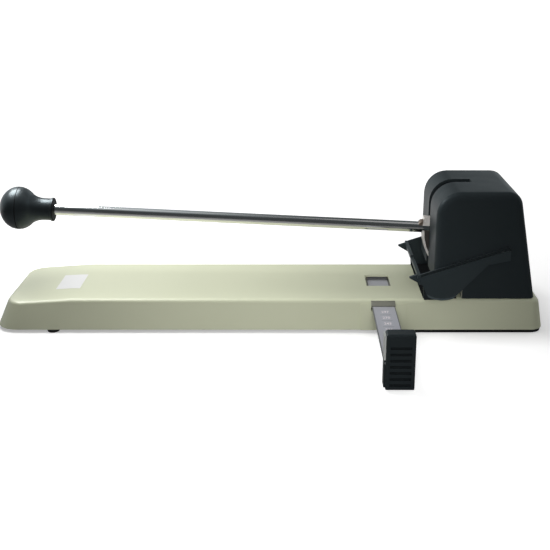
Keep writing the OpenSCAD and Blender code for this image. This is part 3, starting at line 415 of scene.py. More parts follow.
class Bench:
    """Modelling moves that every sub-assembly uses."""

    @staticmethod
    def clear() -> None:
        """Leaves nothing selected."""
        if bpy.context.object and bpy.context.object.mode != "OBJECT":
            Bench.close()
        bpy.ops.object.select_all(action="DESELECT")

    @staticmethod
    def take(piece: Piece) -> None:
        """Makes a piece the only selected and active one.

        Args:
            piece: Piece to work on.
        """
        Bench.clear()
        piece.select_set(True)
        bpy.context.view_layer.objects.active = piece

    @staticmethod
    def open(piece: Piece) -> None:
        """Opens a piece in edit mode with all of it selected.

        Args:
            piece: Piece to open.
        """
        Bench.take(piece)
        bpy.ops.object.mode_set(mode="EDIT")
        bpy.ops.mesh.select_all(action="SELECT")

    @staticmethod
    def close() -> None:
        """Goes back from edit mode to object mode."""
        bpy.ops.object.mode_set(mode="OBJECT")

    @staticmethod
    def pick(piece: Piece, chosen: Callable[[bpy.types.MeshVertex], bool]) -> None:
        """Opens a piece in edit mode with only some of its points selected.

        Args:
            piece: Piece to open.
            chosen: Test that says which points are selected.
        """
        Bench.open(piece)
        bpy.ops.mesh.select_mode(type="VERT")
        bpy.ops.mesh.select_all(action="DESELECT")
        Bench.close()
        for point in piece.data.vertices:
            point.select = chosen(point)
        bpy.ops.object.mode_set(mode="EDIT")

    @staticmethod
    def modify(piece: Piece, kind: str, **settings: object) -> None:
        """Puts a modifier on a piece and applies it.

        Args:
            piece: Piece to change.
            kind: Blender's name of the modifier.
            **settings: Settings of the modifier.
        """
        Bench.take(piece)
        modifier = piece.modifiers.new(kind.lower(), kind)
        for name, value in settings.items():
            setattr(modifier, name, value)
        bpy.ops.object.modifier_apply(modifier=modifier.name)

    @staticmethod
    def copy_of(node: str, name: str) -> Piece:
        """Copies a CAD node's mesh into a new piece and joins its loose triangles.

        Args:
            node: Name of the CAD node.
            name: Name of the new piece.

        Returns:
            The new piece, with the triangles of flat faces joined in pairs.
        """
        piece = bpy.data.objects.new(name, frame["nodes"][node].data.copy())
        piece.data.name = name
        bpy.context.scene.collection.objects.link(piece)
        normals = piece.data.attributes.get("custom_normal")
        if normals:
            piece.data.attributes.remove(normals)
        Bench.open(piece)
        bpy.ops.mesh.remove_doubles(threshold=SAME_POINT)
        bpy.ops.mesh.tris_convert_to_quads(face_threshold=FLAT_ANGLE, shape_threshold=math.pi)
        Bench.close()
        return piece

    @staticmethod
    def added(name: str, scale: Vector | Place = (1.0, 1.0, 1.0)) -> Piece:
        """Names the primitive that was just added and puts its place and size into its mesh.

        Args:
            name: Name of the new piece.
            scale: Size to stretch it to.

        Returns:
            The new piece, at the origin.
        """
        piece = bpy.context.object
        piece.name = piece.data.name = name
        piece.scale = scale
        bpy.ops.object.transform_apply(location=True, rotation=True, scale=True)
        return piece

    @staticmethod
    def plate(name: str, low: Vector, high: Vector) -> Piece:
        """Adds a cube primitive stretched between two corners.

        Args:
            name: Name of the piece.
            low: Lowest corner, in metres.
            high: Highest corner, in metres.

        Returns:
            The new piece.
        """
        Bench.clear()
        bpy.ops.mesh.primitive_cube_add(size=1.0, location=(low + high) / 2)
        return Bench.added(name, high - low)

    @staticmethod
    def soften(piece: Piece, width: float) -> None:
        """Rounds the sharp edges of a piece, merges what slivers that leaves, and shades it smooth.

        Args:
            piece: Piece to round.
            width: Width of the rounding in millimetres.
        """
        Bench.modify(piece, "BEVEL", width=width * MM, segments=ROUND_CELLS, limit_method="ANGLE",
                     angle_limit=SHARP_ANGLE, miter_outer="MITER_ARC", use_clamp_overlap=True)
        Bench.open(piece)
        bpy.ops.mesh.remove_doubles(threshold=SLIVER)
        Bench.close()
        Bench.smooth(piece)

    @staticmethod
    def smooth(piece: Piece) -> None:
        """Shades a piece smooth between its sharp edges and evens its normals.

        Args:
            piece: Piece to shade.
        """
        Bench.take(piece)
        bpy.ops.object.shade_smooth_by_angle(angle=SHARP_ANGLE)
        Bench.modify(piece, "WEIGHTED_NORMAL", keep_sharp=True)

    @staticmethod
    def cut(piece: Piece, point: Vector, normal: Vector, trim: bool = False) -> None:
        """Cuts the faces of a piece along a plane.

        Args:
            piece: Piece to cut.
            point: Point of the plane, in metres.
            normal: Direction square to the plane.
            trim: Whether the side behind the plane goes and the cut is closed, or both sides stay joined.
        """
        Bench.open(piece)
        bpy.ops.mesh.bisect(plane_co=point, plane_no=normal, clear_inner=trim, use_fill=trim)
        Bench.close()

    @staticmethod
    def round_cuts(piece: Piece, middle: Vector, radius: float, angles: tuple[float, ...]) -> None:
        """Cuts the faces of a piece along flats that stand round an axis across the punch.

        Args:
            piece: Piece to cut.
            middle: Point on the axis, in metres.
            radius: Distance of the flats from the axis, in metres.
            angles: Where the flats lie, in degrees from +X towards +Z.
        """
        for angle in angles:
            turn = math.radians(angle)
            out = Vector((math.cos(turn), 0.0, math.sin(turn)))
            Bench.cut(piece, middle + out * radius, out)

    @staticmethod
    def cross_recesses(screws: Piece, facing: Vector, recess: Recess) -> None:
        """Cuts a cross recess into the head of each screw of a group.

        Args:
            screws: Group of screws in one mesh.
            facing: Way in which the heads face, along an axis.
            recess: Size of the cross.
        """
        name = screws.name
        before = set(bpy.data.objects)
        Bench.open(screws)
        bpy.ops.mesh.separate(type="LOOSE")
        Bench.close()
        apart = [screws] + [piece for piece in bpy.data.objects if piece not in before]
        for screw in apart:
            corners = [Vector(c) for c in screw.bound_box]
            middle = sum(corners, Vector()) / len(corners)
            face = max(corner.dot(facing) for corner in corners)
            middle += facing * (face - middle.dot(facing))
            for bar in recess.bars(middle, facing):
                Bench.modify(screw, "BOOLEAN", operation="DIFFERENCE", object=bar)
                bpy.data.objects.remove(bar)
        Bench.join(apart, name)

    @staticmethod
    def join(pieces: list[Piece], name: str) -> Piece:
        """Joins several pieces into one.

        Args:
            pieces: Pieces to join.
            name: Name of the joined piece.

        Returns:
            The joined piece.
        """
        Bench.take(pieces[0])
        for piece in pieces:
            piece.select_set(True)
        bpy.ops.object.join()
        pieces[0].name = pieces[0].data.name = name
        return pieces[0]

    @staticmethod
    def settle(piece: Piece, body: str, finish: Finish, *nodes: str) -> None:
        """Gives a finished piece its finish and its body, and the nodes that it stands for.

        Args:
            piece: Finished piece.
            body: Body that it rides on.
            finish: Its finish.
            *nodes: CAD nodes that it replaces.
        """
        finish.on(piece)
        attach(piece, body)
        if nodes:
            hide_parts(*nodes)
        log.info("%s rides on %s", piece.name, body)


Softened = dict[str, tuple[float, Finish]]
Plain = dict[str, Finish]


@dataclass
class SubAssembly:
    """Nodes of one body: those that show are softened by a width in millimetres, the rest stay plain."""

    body: str
    softened: Softened = field(default_factory=dict)
    plain: Plain = field(default_factory=dict)

    def build(self) -> None:
        """Makes a softened copy of each node that shows, and dresses the rest."""
        for node, (width, finish) in self.softened.items():
            piece = Bench.copy_of(node, node + "_shape")
            self.prepare(node, piece)
            Bench.soften(piece, width)
            self.shape(node, piece)
            Bench.settle(piece, self.body, finish, node)
            self.dress(node, piece)
        for node, finish in self.plain.items():
            finish.on_node(node)
        self.add_details()

    def prepare(self, node: str, piece: Piece) -> None:
        """Works coarse forms into a node's copy before its edges are rounded.

        Args:
            node: Name of the CAD node.
            piece: Its copy.
        """

    def shape(self, node: str, piece: Piece) -> None:
        """Works finer forms into a node's softened copy.

        Args:
            node: Name of the CAD node.
            piece: Its copy.
        """

    def dress(self, node: str, piece: Piece) -> None:
        """Gives some faces of a node's copy a finish of their own.

        Args:
            node: Name of the CAD node.
            piece: Its copy.
        """

    def add_details(self) -> None:
        """Adds the pieces that have no node of their own."""


@dataclass
class PaintedBase(SubAssembly):
    """Painted tray, bed, frame and head."""

    body: str = "base"
    label_low: Pair = (-356.0, -22.0)
    label_size: Pair = (22.0, 39.0)
    label_thick: float = 0.12
    label_gap: float = 0.02
    label_above: float = 60.0
    label_cells: int = 12
    bed_black_end: float = 7.5
    lip_in: float = 47.6
    lip_out: Pair = (48.2, 49.95)
    lip_up: Pair = (29.0, 30.25)
    recess: Recess = Recess(span=3.4, width=0.8, depth=0.7)
    guide_x: float = -58.0
    field_half: float = 23.5
    field_top: Pair = (25.4, 26.2)
    field_out: float = 52.4
    field_rise: float = 1.05
    mouth_half: float = 10.6
    mouth_in: Pair = (50.3, 28.35)
    mouth_out: Pair = (56.3, 25.75)
    mouth_thick: float = 0.6
    mouth_round: float = 0.2
    edge_low: Place = (11.2, 48.7, 30.4)
    edge_high: Place = (11.9, 49.7, 42.0)
    strip_round: float = 0.15
    pad_place: Pair = (-353.4, 50.9)
    pad_radius: float = 5.8
    pad_high: float = 3.0
    pad_foot: float = 0.9
    pad_round: float = 0.5
    pad_cells: int = 40
    softened: Softened = field(default_factory=lambda: {
        "base_cover": (0.5, ENAMEL), "bed_plate": (0.5, BED_BLACK), "bottom_plate": (0.4, PLATE_BLACK),
        "back_stop": (0.2, BACK_PLATE), "head_cover": (0.6, HEAD_BLACK), "front_feet": (0.5, FOOT_RUBBER),
        "front_pan": (0.3, DARK_IRON), "guide_channel": (0.2, CHANNEL_STEEL),
        "pan_screws": (0.35, ZINC), "plate_screws": (0.25, ZINC), "bed_screws": (0.25, ZINC),
    })
    plain: Plain = field(default_factory=lambda: {
        "bed_rails": DARK_IRON, "die_bushes": GROUND_STEEL, "pedestal": DARK_IRON,
        "guide_plate": GROUND_STEEL, "punch_bushes": BRONZE, "guide_posts": POLISHED_STEEL,
        "lever_bracket": DARK_IRON, "frame_bolts": ZINC, "lever_shaft": POLISHED_STEEL,
        "retaining_rings": DARK_IRON, "thrust_washers": BRONZE, "cover_screws": ZINC,
        "guard_pins": POLISHED_STEEL, "detent_spring": GROUND_STEEL,
    })

    def shape(self, node: str, piece: Piece) -> None:
        """Parts the bed where its black front ends, blends the wall fields and cuts the screw recesses.

        Args:
            node: Name of the CAD node.
            piece: Its copy.
        """
        facing = {"pan_screws": -UP, "plate_screws": -UP, "bed_screws": UP}
        if node == "bed_plate":
            Bench.cut(piece, TO_REAR * self.bed_black_end * MM, TO_REAR)
            Bench.smooth(piece)
        elif node in facing:
            Bench.cross_recesses(piece, facing[node], self.recess)
        elif node == "base_cover":
            for side in Side:
                Bench.pick(piece, lambda point: self._on_ledge(point.co, side))
                bpy.ops.transform.translate(value=TO_FAR * -side.value * self.field_rise * MM)
                Bench.close()
            Bench.smooth(piece)

    def _on_ledge(self, place: Vector, side: Side) -> bool:
        """Tells whether a point lies on the upper ledge of a wall field.

        Args:
            place: The point, in metres.
            side: Side of the wall.

        Returns:
            Whether it does.
        """
        across = abs(place.x - self.guide_x * MM) < self.field_half * MM
        high = self.field_top[0] * MM < place.z < self.field_top[1] * MM
        return across and high and side.value * place.y > self.field_out * MM

    def dress(self, node: str, piece: Piece) -> None:
        """Paints the rear of the bed like the base."""
        if node == "bed_plate":
            ENAMEL.on_faces(piece, lambda face: face.center.x > self.bed_black_end * MM)

    def add_details(self) -> None:
        """Adds the label, the lips beside the bed, the back edges, the mouths of the guide and the pads."""
        self._label()
        bed_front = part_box("bed_plate")[0].x / MM
        for side, lip_out in zip(Side, self.lip_out):
            lip = self._between("bed_lip", side, (bed_front, self.lip_in, self.lip_up[0]),
                                (self.bed_black_end, lip_out, self.lip_up[1]))
            edge = self._between("back_edge", side, self.edge_low, self.edge_high)
            for strip, finish in ((lip, BED_BLACK), (edge, BACK_PLATE)):
                Bench.soften(strip, self.strip_round)
                Bench.settle(strip, self.body, finish)
            self._mouth(side)
            self._pad(side)

    @staticmethod
    def _between(name: str, side: Side, low: Place, high: Place) -> Piece:
        """Adds a plate on one side of the punch.

        Args:
            name: Name of the plate, to which that of the side is added.
            side: Side of the punch.
            low: Its lowest corner on the far side, in millimetres.
            high: Its highest corner on the far side, in millimetres.

        Returns:
            The plate.
        """
        near, far = sorted((side.value * low[1], side.value * high[1]))
        return Bench.plate(f"{name}_{side.name.lower()}", Vector((low[0], near, low[2])) * MM,
                           Vector((high[0], far, high[2])) * MM)

    def _mouth(self, side: Side) -> None:
        """Adds the sloping lip over the guide bar where it leaves the wall.

        Args:
            side: Side of the wall.
        """
        inner, top = self.mouth_in
        outer, end = self.mouth_out
        low = (self.guide_x - self.mouth_half, inner, top - self.mouth_thick)
        high = (self.guide_x + self.mouth_half, outer, top)
        lip = self._between("guide_mouth", side, low, high)
        Bench.pick(lip, lambda point: side.value * point.co.y > (inner + outer) / 2 * MM)
        bpy.ops.transform.translate(value=UP * (end - top) * MM)
        Bench.close()
        Bench.soften(lip, self.mouth_round)
        Bench.settle(lip, self.body, CHANNEL_STEEL)

    def _pad(self, side: Side) -> None:
        """Adds a rubber pad under the rim of the base, drawn in at its foot.

        Args:
            side: Side of the rim.
        """
        foot = Vector((self.pad_place[0], side.value * self.pad_place[1], 0.0)) * MM
        middle = self.pad_high / 2 * MM
        Bench.clear()
        bpy.ops.mesh.primitive_cylinder_add(vertices=self.pad_cells, radius=self.pad_radius * MM,
                                            depth=self.pad_high * MM, location=foot + UP * middle)
        pad = Bench.added(f"foot_pad_{side.name.lower()}")
        Bench.pick(pad, lambda point: point.co.z < middle)
        bpy.ops.transform.resize(value=(self.pad_foot, self.pad_foot, 1.0), center_override=foot)
        Bench.close()
        Bench.soften(pad, self.pad_round)
        Bench.settle(pad, self.body, FOOT_RUBBER)

    def _label(self) -> None:
        """Lays the blank label on the painted base so that it follows the form."""
        size = Vector((*self.label_size, 0.0)) * MM
        low = Vector((*self.label_low, self.label_above)) * MM
        Bench.clear()
        bpy.ops.mesh.primitive_grid_add(x_subdivisions=self.label_cells, y_subdivisions=self.label_cells,
                                        size=1.0, location=low + size / 2)
        label = Bench.added("blank_label", size + UP)
        Bench.modify(label, "SHRINKWRAP", target=bpy.data.objects["base_cover_shape"],
                     wrap_method="PROJECT", use_project_z=True, use_negative_direction=True,
                     use_positive_direction=False, offset=self.label_gap * MM)
        Bench.modify(label, "SOLIDIFY", thickness=self.label_thick * MM, offset=1.0)
        Bench.smooth(label)
        Bench.settle(label, self.body, LABEL_WHITE)


@dataclass
class Lever(SubAssembly):
    """Hub, rod and knob, with the drive inside the head."""

    body: str = "lever"
    tilt: float = 2.8
    seam_from_end: float = 17.6
    seam_half: float = 0.35
    seam_depth: float = 0.4
    seam_near: float = 0.01
    neck_end: float = 1.5
    neck_facing: float = 0.5
    rim_wide: float = 2.0
    rim_angles: tuple[float, ...] = (172.0, 183.0, 194.0, 205.0)
    braze_at: float = 49.7
    braze_radius: float = 5.0
    braze_thick: float = 2.3
    braze_long: float = 1.43
    braze_foot: float = 2.4
    braze_half: float = 4.4
    braze_cells: tuple[int, int] = (40, 12)
    softened: Softened = field(default_factory=lambda: {
        "lever_hub": (0.5, HUB_SHADE), "lever_rod": (0.4, ROD_CHROME), "lever_knob": (0.3, KNOB_BLACK),
    })
    plain: Plain = field(default_factory=lambda: {
        "hub_bush": BRONZE, "pinion_near": GROUND_STEEL, "pinion_far": GROUND_STEEL, "hub_dowels": ZINC,
    })

    @staticmethod
    def _hinge() -> Vector:
        """Gives the middle of the shaft."""
        joint = next(j for j in frame["joints"] if j["name"] == "lever_hinge")
        return Vector(joint["pos_m"])

    def _along(self) -> Vector:
        """Gives the direction from the shaft to the knob."""
        tilt = math.radians(self.tilt)
        return Vector((-math.cos(tilt), 0.0, math.sin(tilt)))

    def _above(self) -> Vector:
        """Gives the direction square to the rod, upwards."""
        along = self._along()
        return Vector((along.z, 0.0, -along.x))

    def _rim_inside(self) -> float:
        """Gives the inner radius of the painted highlight on the hub's rim, in metres."""
        return self._hinge().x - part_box("lever_hub")[0].x - self.rim_wide * MM

    def _seam(self) -> float:
        """Gives how far the groove of the knob lies from the shaft, in metres."""
        end = (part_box("lever_knob")[0].x - self._hinge().x) / self._along().x
        return end - self.seam_from_end * MM

    def shape(self, node: str, piece: Piece) -> None:
        """Parts the hub along its rim and the rod's axis, where its painted highlight ends, and presses the
        thin groove into the ball of the knob.

        Args:
            node: Name of the CAD node.
            piece: Its copy.
        """
        if node == "lever_hub":
            Bench.round_cuts(piece, self._hinge(), self._rim_inside(), self.rim_angles)
            Bench.cut(piece, self._hinge(), self._above())
            Bench.smooth(piece)
        elif node == "lever_knob":
            self._groove(piece)

    def _groove(self, knob: Piece) -> None:
        """Presses the thin parting groove into the ball.

        Args:
            knob: Copy of the knob.
        """
        along = self._along()
        seam = self._hinge() + along * self._seam()
        for step in (-1, 0, 1):
            Bench.cut(knob, seam + along * step * self.seam_half * MM, along)
        low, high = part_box("lever_knob")
        radius = (high.y - low.y) / 2
        Bench.pick(knob, lambda point: abs((point.co - seam).dot(along)) < self.seam_near * MM)
        bpy.ops.transform.resize(value=(1 - self.seam_depth * MM / radius,) * 3, center_override=seam)
        Bench.close()
        Bench.smooth(knob)

    def dress(self, node: str, piece: Piece) -> None:
        """Paints a highlight on the hub's rim and on its half above the rod, over its painted shade, and
        paints shade on the neck's end and in the groove of the knob.

        Args:
            node: Name of the CAD node.
            piece: Its copy.
        """
        hinge, along, above = self._hinge(), self._along(), self._above()
        if node == "lever_hub":
            # Painted highlight on the rim and on the half above the rod's axis; the rest keeps the painted
            # shade.
            inside = self._rim_inside()
            HUB_HIGHLIGHT.on_faces(piece, lambda face: (face.center - hinge).xz.length > inside
                             or (face.center - hinge).dot(above) > 0)
        elif node == "lever_knob":
            # Painted shade on the end of the neck and in the parting groove.
            near_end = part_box(node)[1].x - self.neck_end * MM
            KNOB_SHADE.on_faces(piece, lambda face: face.center.x > near_end
                              and face.normal.dot(along) < -self.neck_facing)
            seam, half = self._seam(), self.seam_half * MM
            KNOB_SHADE.on_faces(piece, lambda face: abs((face.center - hinge).dot(along) - seam) < half)

    def add_details(self) -> None:
        """Adds the brazed bead over the root of the rod."""
        along = self._along()
        middle = self._hinge() + along * self.braze_at * MM
        Bench.clear()
        bpy.ops.mesh.primitive_torus_add(
            major_radius=self.braze_radius * MM, minor_radius=self.braze_thick * MM,
            major_segments=self.braze_cells[0], minor_segments=self.braze_cells[1],
            rotation=along.to_track_quat("Z", "Y").to_euler(), location=middle)
        bead = Bench.added("brazed_bead")
        Bench.open(bead)
        bpy.ops.transform.resize(value=(self.braze_long, 1.0, 1.0), center_override=middle)
        Bench.close()
        Bench.cut(bead, middle + self._above() * self.braze_foot * MM, self._above(), trim=True)
        for side in Side:
            Bench.cut(bead, TO_FAR * side.value * self.braze_half * MM, TO_FAR * -side.value, trim=True)
        Bench.smooth(bead)
        Bench.settle(bead, self.body, BRAZE)


@dataclass
class PunchCarriage(SubAssembly):
    """Crosshead with its racks and punches."""

    body: str = "punch_carriage"
    softened: Softened = field(default_factory=lambda: {
        "punches": (0.15, POLISHED_STEEL), "crosshead": (0.3, DARK_IRON),
    })
    plain: Plain = field(default_factory=lambda: {
        "rack_near": GROUND_STEEL, "rack_far": GROUND_STEEL, "rack_screws": ZINC,
        "punch_keepers": GROUND_STEEL, "keeper_screws": ZINC,
    })


@dataclass
class PaperGuard(SubAssembly):
    """Swinging guard with its pointers."""

    body: str = "guard"
    skin: float = 1.4
    skin_facing: float = 0.9
    skin_near: float = 0.1
    tip_near: float = 0.1
    tip_drop: float = 1.3
    tip_blunt: float = 1.8
    lobe_middle: Place = (-6.0, 0.0, 57.0)
    lobe_radius: float = 27.2
    lobe_low: float = 38.0
    rim_wide: float = 1.8
    rim_angles: tuple[float, ...] = (-72.0, -81.0, -90.0, -99.0, -108.0, -117.0)
    softened: Softened = field(default_factory=lambda: {"paper_guard": (0.3, GUARD_BLACK)})

    def prepare(self, node: str, piece: Piece) -> None:
        """Lowers the tips of the pointers a little and blunts them.

        Args:
            node: Name of the CAD node.
            piece: Its copy.
        """
        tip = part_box(node)[0].x + self.tip_near * MM
        Bench.pick(piece, lambda point: point.co.x < tip)
        bpy.ops.transform.translate(value=UP * -self.tip_drop * MM)
        bpy.ops.mesh.bevel(offset=self.tip_blunt * MM, segments=ROUND_CELLS, affect="EDGES")
        Bench.close()

    def _lobe(self) -> Vector:
        """Gives the middle of the round lower edge of the arms, in metres."""
        return Vector(self.lobe_middle) * MM

    def _rim_inside(self) -> float:
        """Gives the inner radius of the painted highlight along that edge, in metres."""
        return (self.lobe_radius - self.rim_wide) * MM

    def _on_rim(self, face: Face) -> bool:
        """Tells whether a face lies in the painted highlight along that edge."""
        outside = (face.center - self._lobe()).xz.length > self._rim_inside()
        return outside and face.center.z < self.lobe_low * MM

    def shape(self, node: str, piece: Piece) -> None:
        """Parts the painted highlight along the round lower edge of the arms."""
        Bench.round_cuts(piece, self._lobe(), self._rim_inside(), self.rim_angles)
        Bench.smooth(piece)

    def dress(self, node: str, piece: Piece) -> None:
        """Paints a highlight on the rim of the outer skin and paints shade on the faces that lie behind it.

        Args:
            node: Name of the CAD node.
            piece: Its copy.
        """
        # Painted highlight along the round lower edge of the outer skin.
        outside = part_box(node)[1].y - self.skin / 2 * MM
        GUARD_HIGHLIGHT.on_faces(piece, lambda face: abs(face.center.y) > outside and self._on_rim(face))
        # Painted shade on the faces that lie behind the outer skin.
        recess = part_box(node)[1].y - self.skin * MM
        GUARD_SHADE.on_faces(piece, lambda face: abs(face.normal.y) > self.skin_facing
                              and abs(abs(face.center.y) - recess) < self.skin_near * MM)


@dataclass
class PaperGuide(SubAssembly):
    """Sliding bar with its scale and ribbed stop."""

    body: str = "guide"
    numbers: tuple[int, ...] = (297, 270, 243, 216, 189, 162)
    number_at: float = -69.1
    number_pitch: float = 13.5
    number_size: float = 4.4
    number_tall: float = 1.5
    number_bold: float = 0.06
    number_cells: int = 3
    line_size: Pair = (9.4, 0.5)
    print_thick: float = 0.04
    edge_wide: float = 0.8
    groove_skin: float = 0.1
    groove_deep: float = 1.3
    groove_border: float = 2.6
    leaf_bright: float = 27.0
    leaf_facing: float = 0.5
    recess: Recess = Recess(span=2.4, width=0.6, depth=0.5)
    softened: Softened = field(default_factory=lambda: {
        "guide_bar": (0.25, BAR_STEEL), "guide_stop": (0.3, STOP_BLACK), "stop_plate": (0.2, STOP_LEAF),
        "stop_screws": (0.2, ZINC),
    })
    plain: Plain = field(default_factory=lambda: {"slot_screw": ZINC})

    def shape(self, node: str, piece: Piece) -> None:
        """Cuts the recesses of the screws of the stop, and parts the bar's edges and the stop's plate,
        where its painted shade ends.

        Args:
            node: Name of the CAD node.
            piece: Its copy.
        """
        if node == "stop_screws":
            Bench.cross_recesses(piece, TO_FAR, self.recess)
        elif node == "guide_bar":
            low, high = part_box(node)
            for x in (low.x + self.edge_wide * MM, high.x - self.edge_wide * MM):
                Bench.cut(piece, TO_REAR * x, TO_REAR)
            Bench.smooth(piece)
        elif node == "stop_plate":
            Bench.cut(piece, UP * self.leaf_bright * MM, UP)
            Bench.smooth(piece)

    def dress(self, node: str, piece: Piece) -> None:
        """Paints shade in the grooves of the stop and on the lower part of the stop's plate, and darkens
        the edges of the bar.

        Args:
            node: Name of the CAD node.
            piece: Its copy.
        """
        low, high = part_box(node)
        if node == "guide_stop":
            # Painted shade in the grooves.
            STOP_GROOVE_SHADE.on_faces(piece, lambda face: self._in_groove(face, low, high))
        elif node == "guide_bar":
            middle = (low.x + high.x) / 2
            inner = (high.x - low.x) / 2 - self.edge_wide * MM
            BAR_EDGE.on_faces(piece, lambda face: abs(face.center.x - middle) > inner)
        elif node == "stop_plate":
            # Painted shade: the steel leaf takes the stop's black below its top.
            STOP_BLACK.on_faces(piece, lambda face: face.normal.y < self.leaf_facing
                                and face.center.z < self.leaf_bright * MM)

    def _in_groove(self, face: Face, low: Vector, high: Vector) -> bool:
        """Tells whether a face of the stop lies in one of its grooves.

        Args:
            face: Face to look at.
            low: Lowest corner of the stop.
            high: Highest corner of the stop.

        Returns:
            Whether it does.
        """
        border = self.groove_border * MM
        deep = self.groove_skin * MM < face.center.y - low.y < self.groove_deep * MM
        across = low.x + border < face.center.x < high.x - border
        return deep and across and low.z + border < face.center.z < high.z - border

    def add_details(self) -> None:
        """Prints the scale on the bar: the width of the sheets, with a line between every two numbers."""
        low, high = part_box("guide_bar")
        middle = (low.x + high.x) / 2
        half = Vector((*self.line_size, self.print_thick)) / 2 * MM
        words, lines = [], []
        for k, number in enumerate(self.numbers):
            place = Vector((middle, (self.number_at - k * self.number_pitch) * MM, high.z))
            words.append(self._number(number, place))
            between = place - TO_FAR * self.number_pitch / 2 * MM
            lines.append(Bench.plate("scale_line", between - half, between + half))
        Bench.settle(Bench.join(words, "scale_numbers"), self.body, MARK_PALE)
        Bench.settle(Bench.join(lines, "scale_lines"), self.body, MARK_DARK)

    def _number(self, number: int, place: Vector) -> Piece:
        """Makes one printed number of the scale.

        Args:
            number: Number to print.
            place: Middle of the number on the bar.

        Returns:
            The number as a mesh, with its place in the mesh.
        """
        Bench.clear()
        bpy.ops.object.text_add(location=place)
        text = bpy.context.object.data
        text.body = str(number)
        text.size = self.number_size * MM
        text.align_x = text.align_y = "CENTER"
        text.offset = self.number_bold * MM
        text.extrude = self.print_thick / 2 * MM
        text.resolution_u = self.number_cells
        bpy.ops.object.convert(target="MESH")
        return Bench.added("scale_number", (1.0, self.number_tall, 1.0))


@dataclass
class ChipTray(SubAssembly):
    """Tray for the chips."""

    body: str = "tray"
    softened: Softened = field(default_factory=lambda: {"chip_tray": (0.4, TRAY_BLACK)})


@dataclass(frozen=True)
class Lamp:
    """Lamp that the camera doesn't see, in metres and degrees. It faces its aim, or else has a turn."""

    name: str
    kind: LampKind
    power: float
    place: Place = (0.0, 0.0, 1.0)
    spread: float = 180.0
    side: float = 0.0
    turn: Place = (0.0, 0.0, 0.0)
    aim: Place | None = None
    diffuse: bool = True
    glossy: bool = True

    def hang(self) -> None:
        """Puts the lamp in the scene."""
        light = bpy.data.lights.new(self.name, self.kind.value)
        light.energy = self.power
        if self.kind is LampKind.SUN:
            light.angle = math.radians(self.spread)
        else:
            light.spread = math.radians(self.spread)
            light.size = self.side
        lamp = bpy.data.objects.new(self.name, light)
        bpy.context.scene.collection.objects.link(lamp)
        lamp.location = self.place
        lamp.rotation_euler = [math.radians(t) for t in self.turn]
        if self.aim is not None:
            way = Vector(self.aim) - Vector(self.place)
            lamp.rotation_euler = way.to_track_quat("-Z", "Y").to_euler()
        lamp.visible_camera = False
        lamp.visible_diffuse = self.diffuse
        lamp.visible_glossy = self.glossy


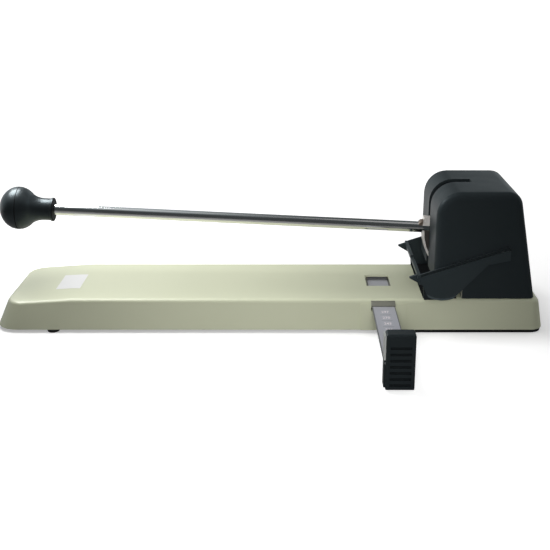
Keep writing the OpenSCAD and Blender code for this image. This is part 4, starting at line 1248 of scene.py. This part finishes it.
@dataclass
class Studio:
    """Camera, light and floor of the photograph, in metres and degrees."""

    camera_place: Place = (-0.1367, -0.8425, 0.3255)
    camera_tilt: float = 71.0
    camera_lens: float = 62.2
    camera_sensor: float = 36.0
    camera_shift: float = -0.036
    camera_far: float = 100.0
    sky: float = 0.08
    room_dark: float = 0.05
    gloss_colour: Colour = (0.88, 0.97, 1.0)
    back: Ramp = Ramp(-0.3, 0.1, 0.8, 0.12)
    back_end: Ramp = Ramp(0.13, 0.2, 0.0, 0.75)
    ceiling: Ramp = Ramp(-0.3, 0.08, 0.66, 0.06)
    ceiling_rise: Ramp = Ramp(0.35, 0.6)
    viewer_slope: float = 0.55
    viewer_rise: Ramp = Ramp(-0.15, 0.3)
    floor_half: float = 30.0
    floor_rough: float = 0.8
    floor_seen: float = 0.8
    floor_bounce: float = 0.3
    floor_mirror: Ramp = Ramp(0.06, 0.35, 0.0, 0.9)
    floor_shadow: Ramp = Ramp(0.0, 0.032, 0.37, 0.6)
    floor_white: Ramp = Ramp(0.032, 0.5, 0.0, 0.4)
    lamps: tuple[Lamp, ...] = (
        Lamp("key", LampKind.SUN, 0.06, spread=40.0, turn=(-6.0, -19.0, 0.0)),
        Lamp("back", LampKind.SUN, 0.2, spread=60.0, turn=(4.0, 34.0, 0.0)),
        Lamp("rear", LampKind.SUN, 0.9, (0.75, 0.6, 0.24), spread=50.0, aim=(0.0, 0.0, 0.0), glossy=False),
        Lamp("softbox", LampKind.AREA, 1.44, (-0.335, 0.025, 0.365), side=0.3, glossy=False),
        Lamp("shine", LampKind.AREA, 5.0, (-0.54, 0.15, 0.47), side=0.3, diffuse=False),
        Lamp("fill", LampKind.AREA, 0.189, (-0.125, -0.72, 0.3), spread=44.0, side=0.24,
             aim=(-0.125, -0.05, 0.03), glossy=False),
    )

    def build(self) -> None:
        """Sets camera, room, lamps, floor and view."""
        self._camera()
        self._room()
        for lamp in self.lamps:
            lamp.hang()
        self._floor()
        bpy.context.scene.view_settings.view_transform = "Standard"

    def _camera(self) -> None:
        """Adds the camera where the photograph was taken from."""
        lens = bpy.data.cameras.new("camera")
        lens.lens = self.camera_lens
        lens.sensor_width = self.camera_sensor
        lens.shift_x = self.camera_shift
        lens.clip_end = self.camera_far
        camera = bpy.data.objects.new("camera", lens)
        camera.location = self.camera_place
        camera.rotation_euler = (math.radians(self.camera_tilt), 0.0, 0.0)
        bpy.context.scene.collection.objects.link(camera)
        bpy.context.scene.camera = camera

    def _room(self) -> None:
        """Makes the room: white to the camera, and in reflections pale behind and dark on the near side."""
        world = bpy.data.worlds.new("studio")
        bpy.context.scene.world = world
        wires = Wiring(world)
        path = wires.node("LightPath").outputs
        x, y, z = wires.apart(wires.node("TexCoord").outputs["Generated"])
        backdrop = wires.math("ADD", wires.ramp(x, self.back), wires.ramp(x, self.back_end))
        pale = wires.mix(wires.ramp(z, self.ceiling_rise), backdrop, wires.ramp(x, self.ceiling))
        slope = wires.math("MULTIPLY_ADD", z, self.viewer_slope, y)
        mirrored = wires.mix(wires.ramp(slope, self.viewer_rise), self.room_dark, pale)
        lit = wires.mix(path["Is Glossy Ray"], self.sky, mirrored)
        seen = wires.math("MAXIMUM", path["Is Camera Ray"], path["Is Transmission Ray"])
        wires.feed(wires.tree.nodes["Background"], {
            "Strength": wires.mix(seen, lit, 1.0),
            "Color": wires.mix(path["Is Glossy Ray"], (*WHITE, 1.0), (*self.gloss_colour, 1.0)),
        })

    def _floor(self) -> None:
        """Lays the plain pale floor, duller in the light that it throws back on the object, with a painted
        shadow that darkens it near the outline of the base.
        """
        Bench.clear()
        bpy.ops.mesh.primitive_plane_add(size=2 * self.floor_half)
        floor = bpy.context.object
        floor.name = "floor"
        pale = bpy.data.materials.new("floor_pale")
        wires = Wiring(pale)
        path = wires.node("LightPath").outputs
        place = wires.node("NewGeometry").outputs["Position"]
        behind = wires.ramp(wires.apart(place)[1], self.floor_mirror)
        mirrored = wires.math("MULTIPLY", path["Is Glossy Ray"], behind)
        distance = self._from_base(wires, place)
        # Painted shadow: the floor glows less near the outline of the base, and whiter farther off.
        level = wires.math("ADD", wires.ramp(distance, self.floor_shadow),
                           wires.ramp(distance, self.floor_white))
        wires.feed(wires.tree.nodes["Principled BSDF"], {
            "Base Color": wires.mix(path["Is Camera Ray"], (*(self.floor_bounce,) * 3, 1.0),
                                    (*(self.floor_seen,) * 3, 1.0)),
            "Roughness": self.floor_rough,
            "Specular IOR Level": 0.0,
            "Emission Color": (*WHITE, 1.0),
            "Emission Strength": wires.math("MULTIPLY_ADD", path["Is Camera Ray"], level, mirrored),
        })
        floor.data.materials.append(pale)

    @staticmethod
    def _from_base(wires: Wiring, place: Socket) -> Socket:
        """Measures how far a point of the floor lies from the outline of the base.

        Args:
            wires: Node tree of the floor.
            place: Socket that gives the point.

        Returns:
            The socket that gives the distance.
        """
        low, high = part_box("base_cover")
        steps = (("SUBTRACT", (low + high) / 2), ("ABSOLUTE",), ("SUBTRACT", (high - low) / 2),
                 ("MAXIMUM", Vector()), ("MULTIPLY", TO_REAR + TO_FAR))
        way = place
        for operation, *value in steps:
            way = wires.math(operation, way, *value, kind="VectorMath", result="Vector")
        return wires.math("LENGTH", way, kind="VectorMath")


def main() -> None:
    """Builds the studio and every sub-assembly in order."""
    Studio().build()
    for part in (PaintedBase(), Lever(), PunchCarriage(), PaperGuard(), PaperGuide(), ChipTray()):
        part.build()
        log.info("%s is dressed", part.body)


if __name__ == "__main__":
    main()
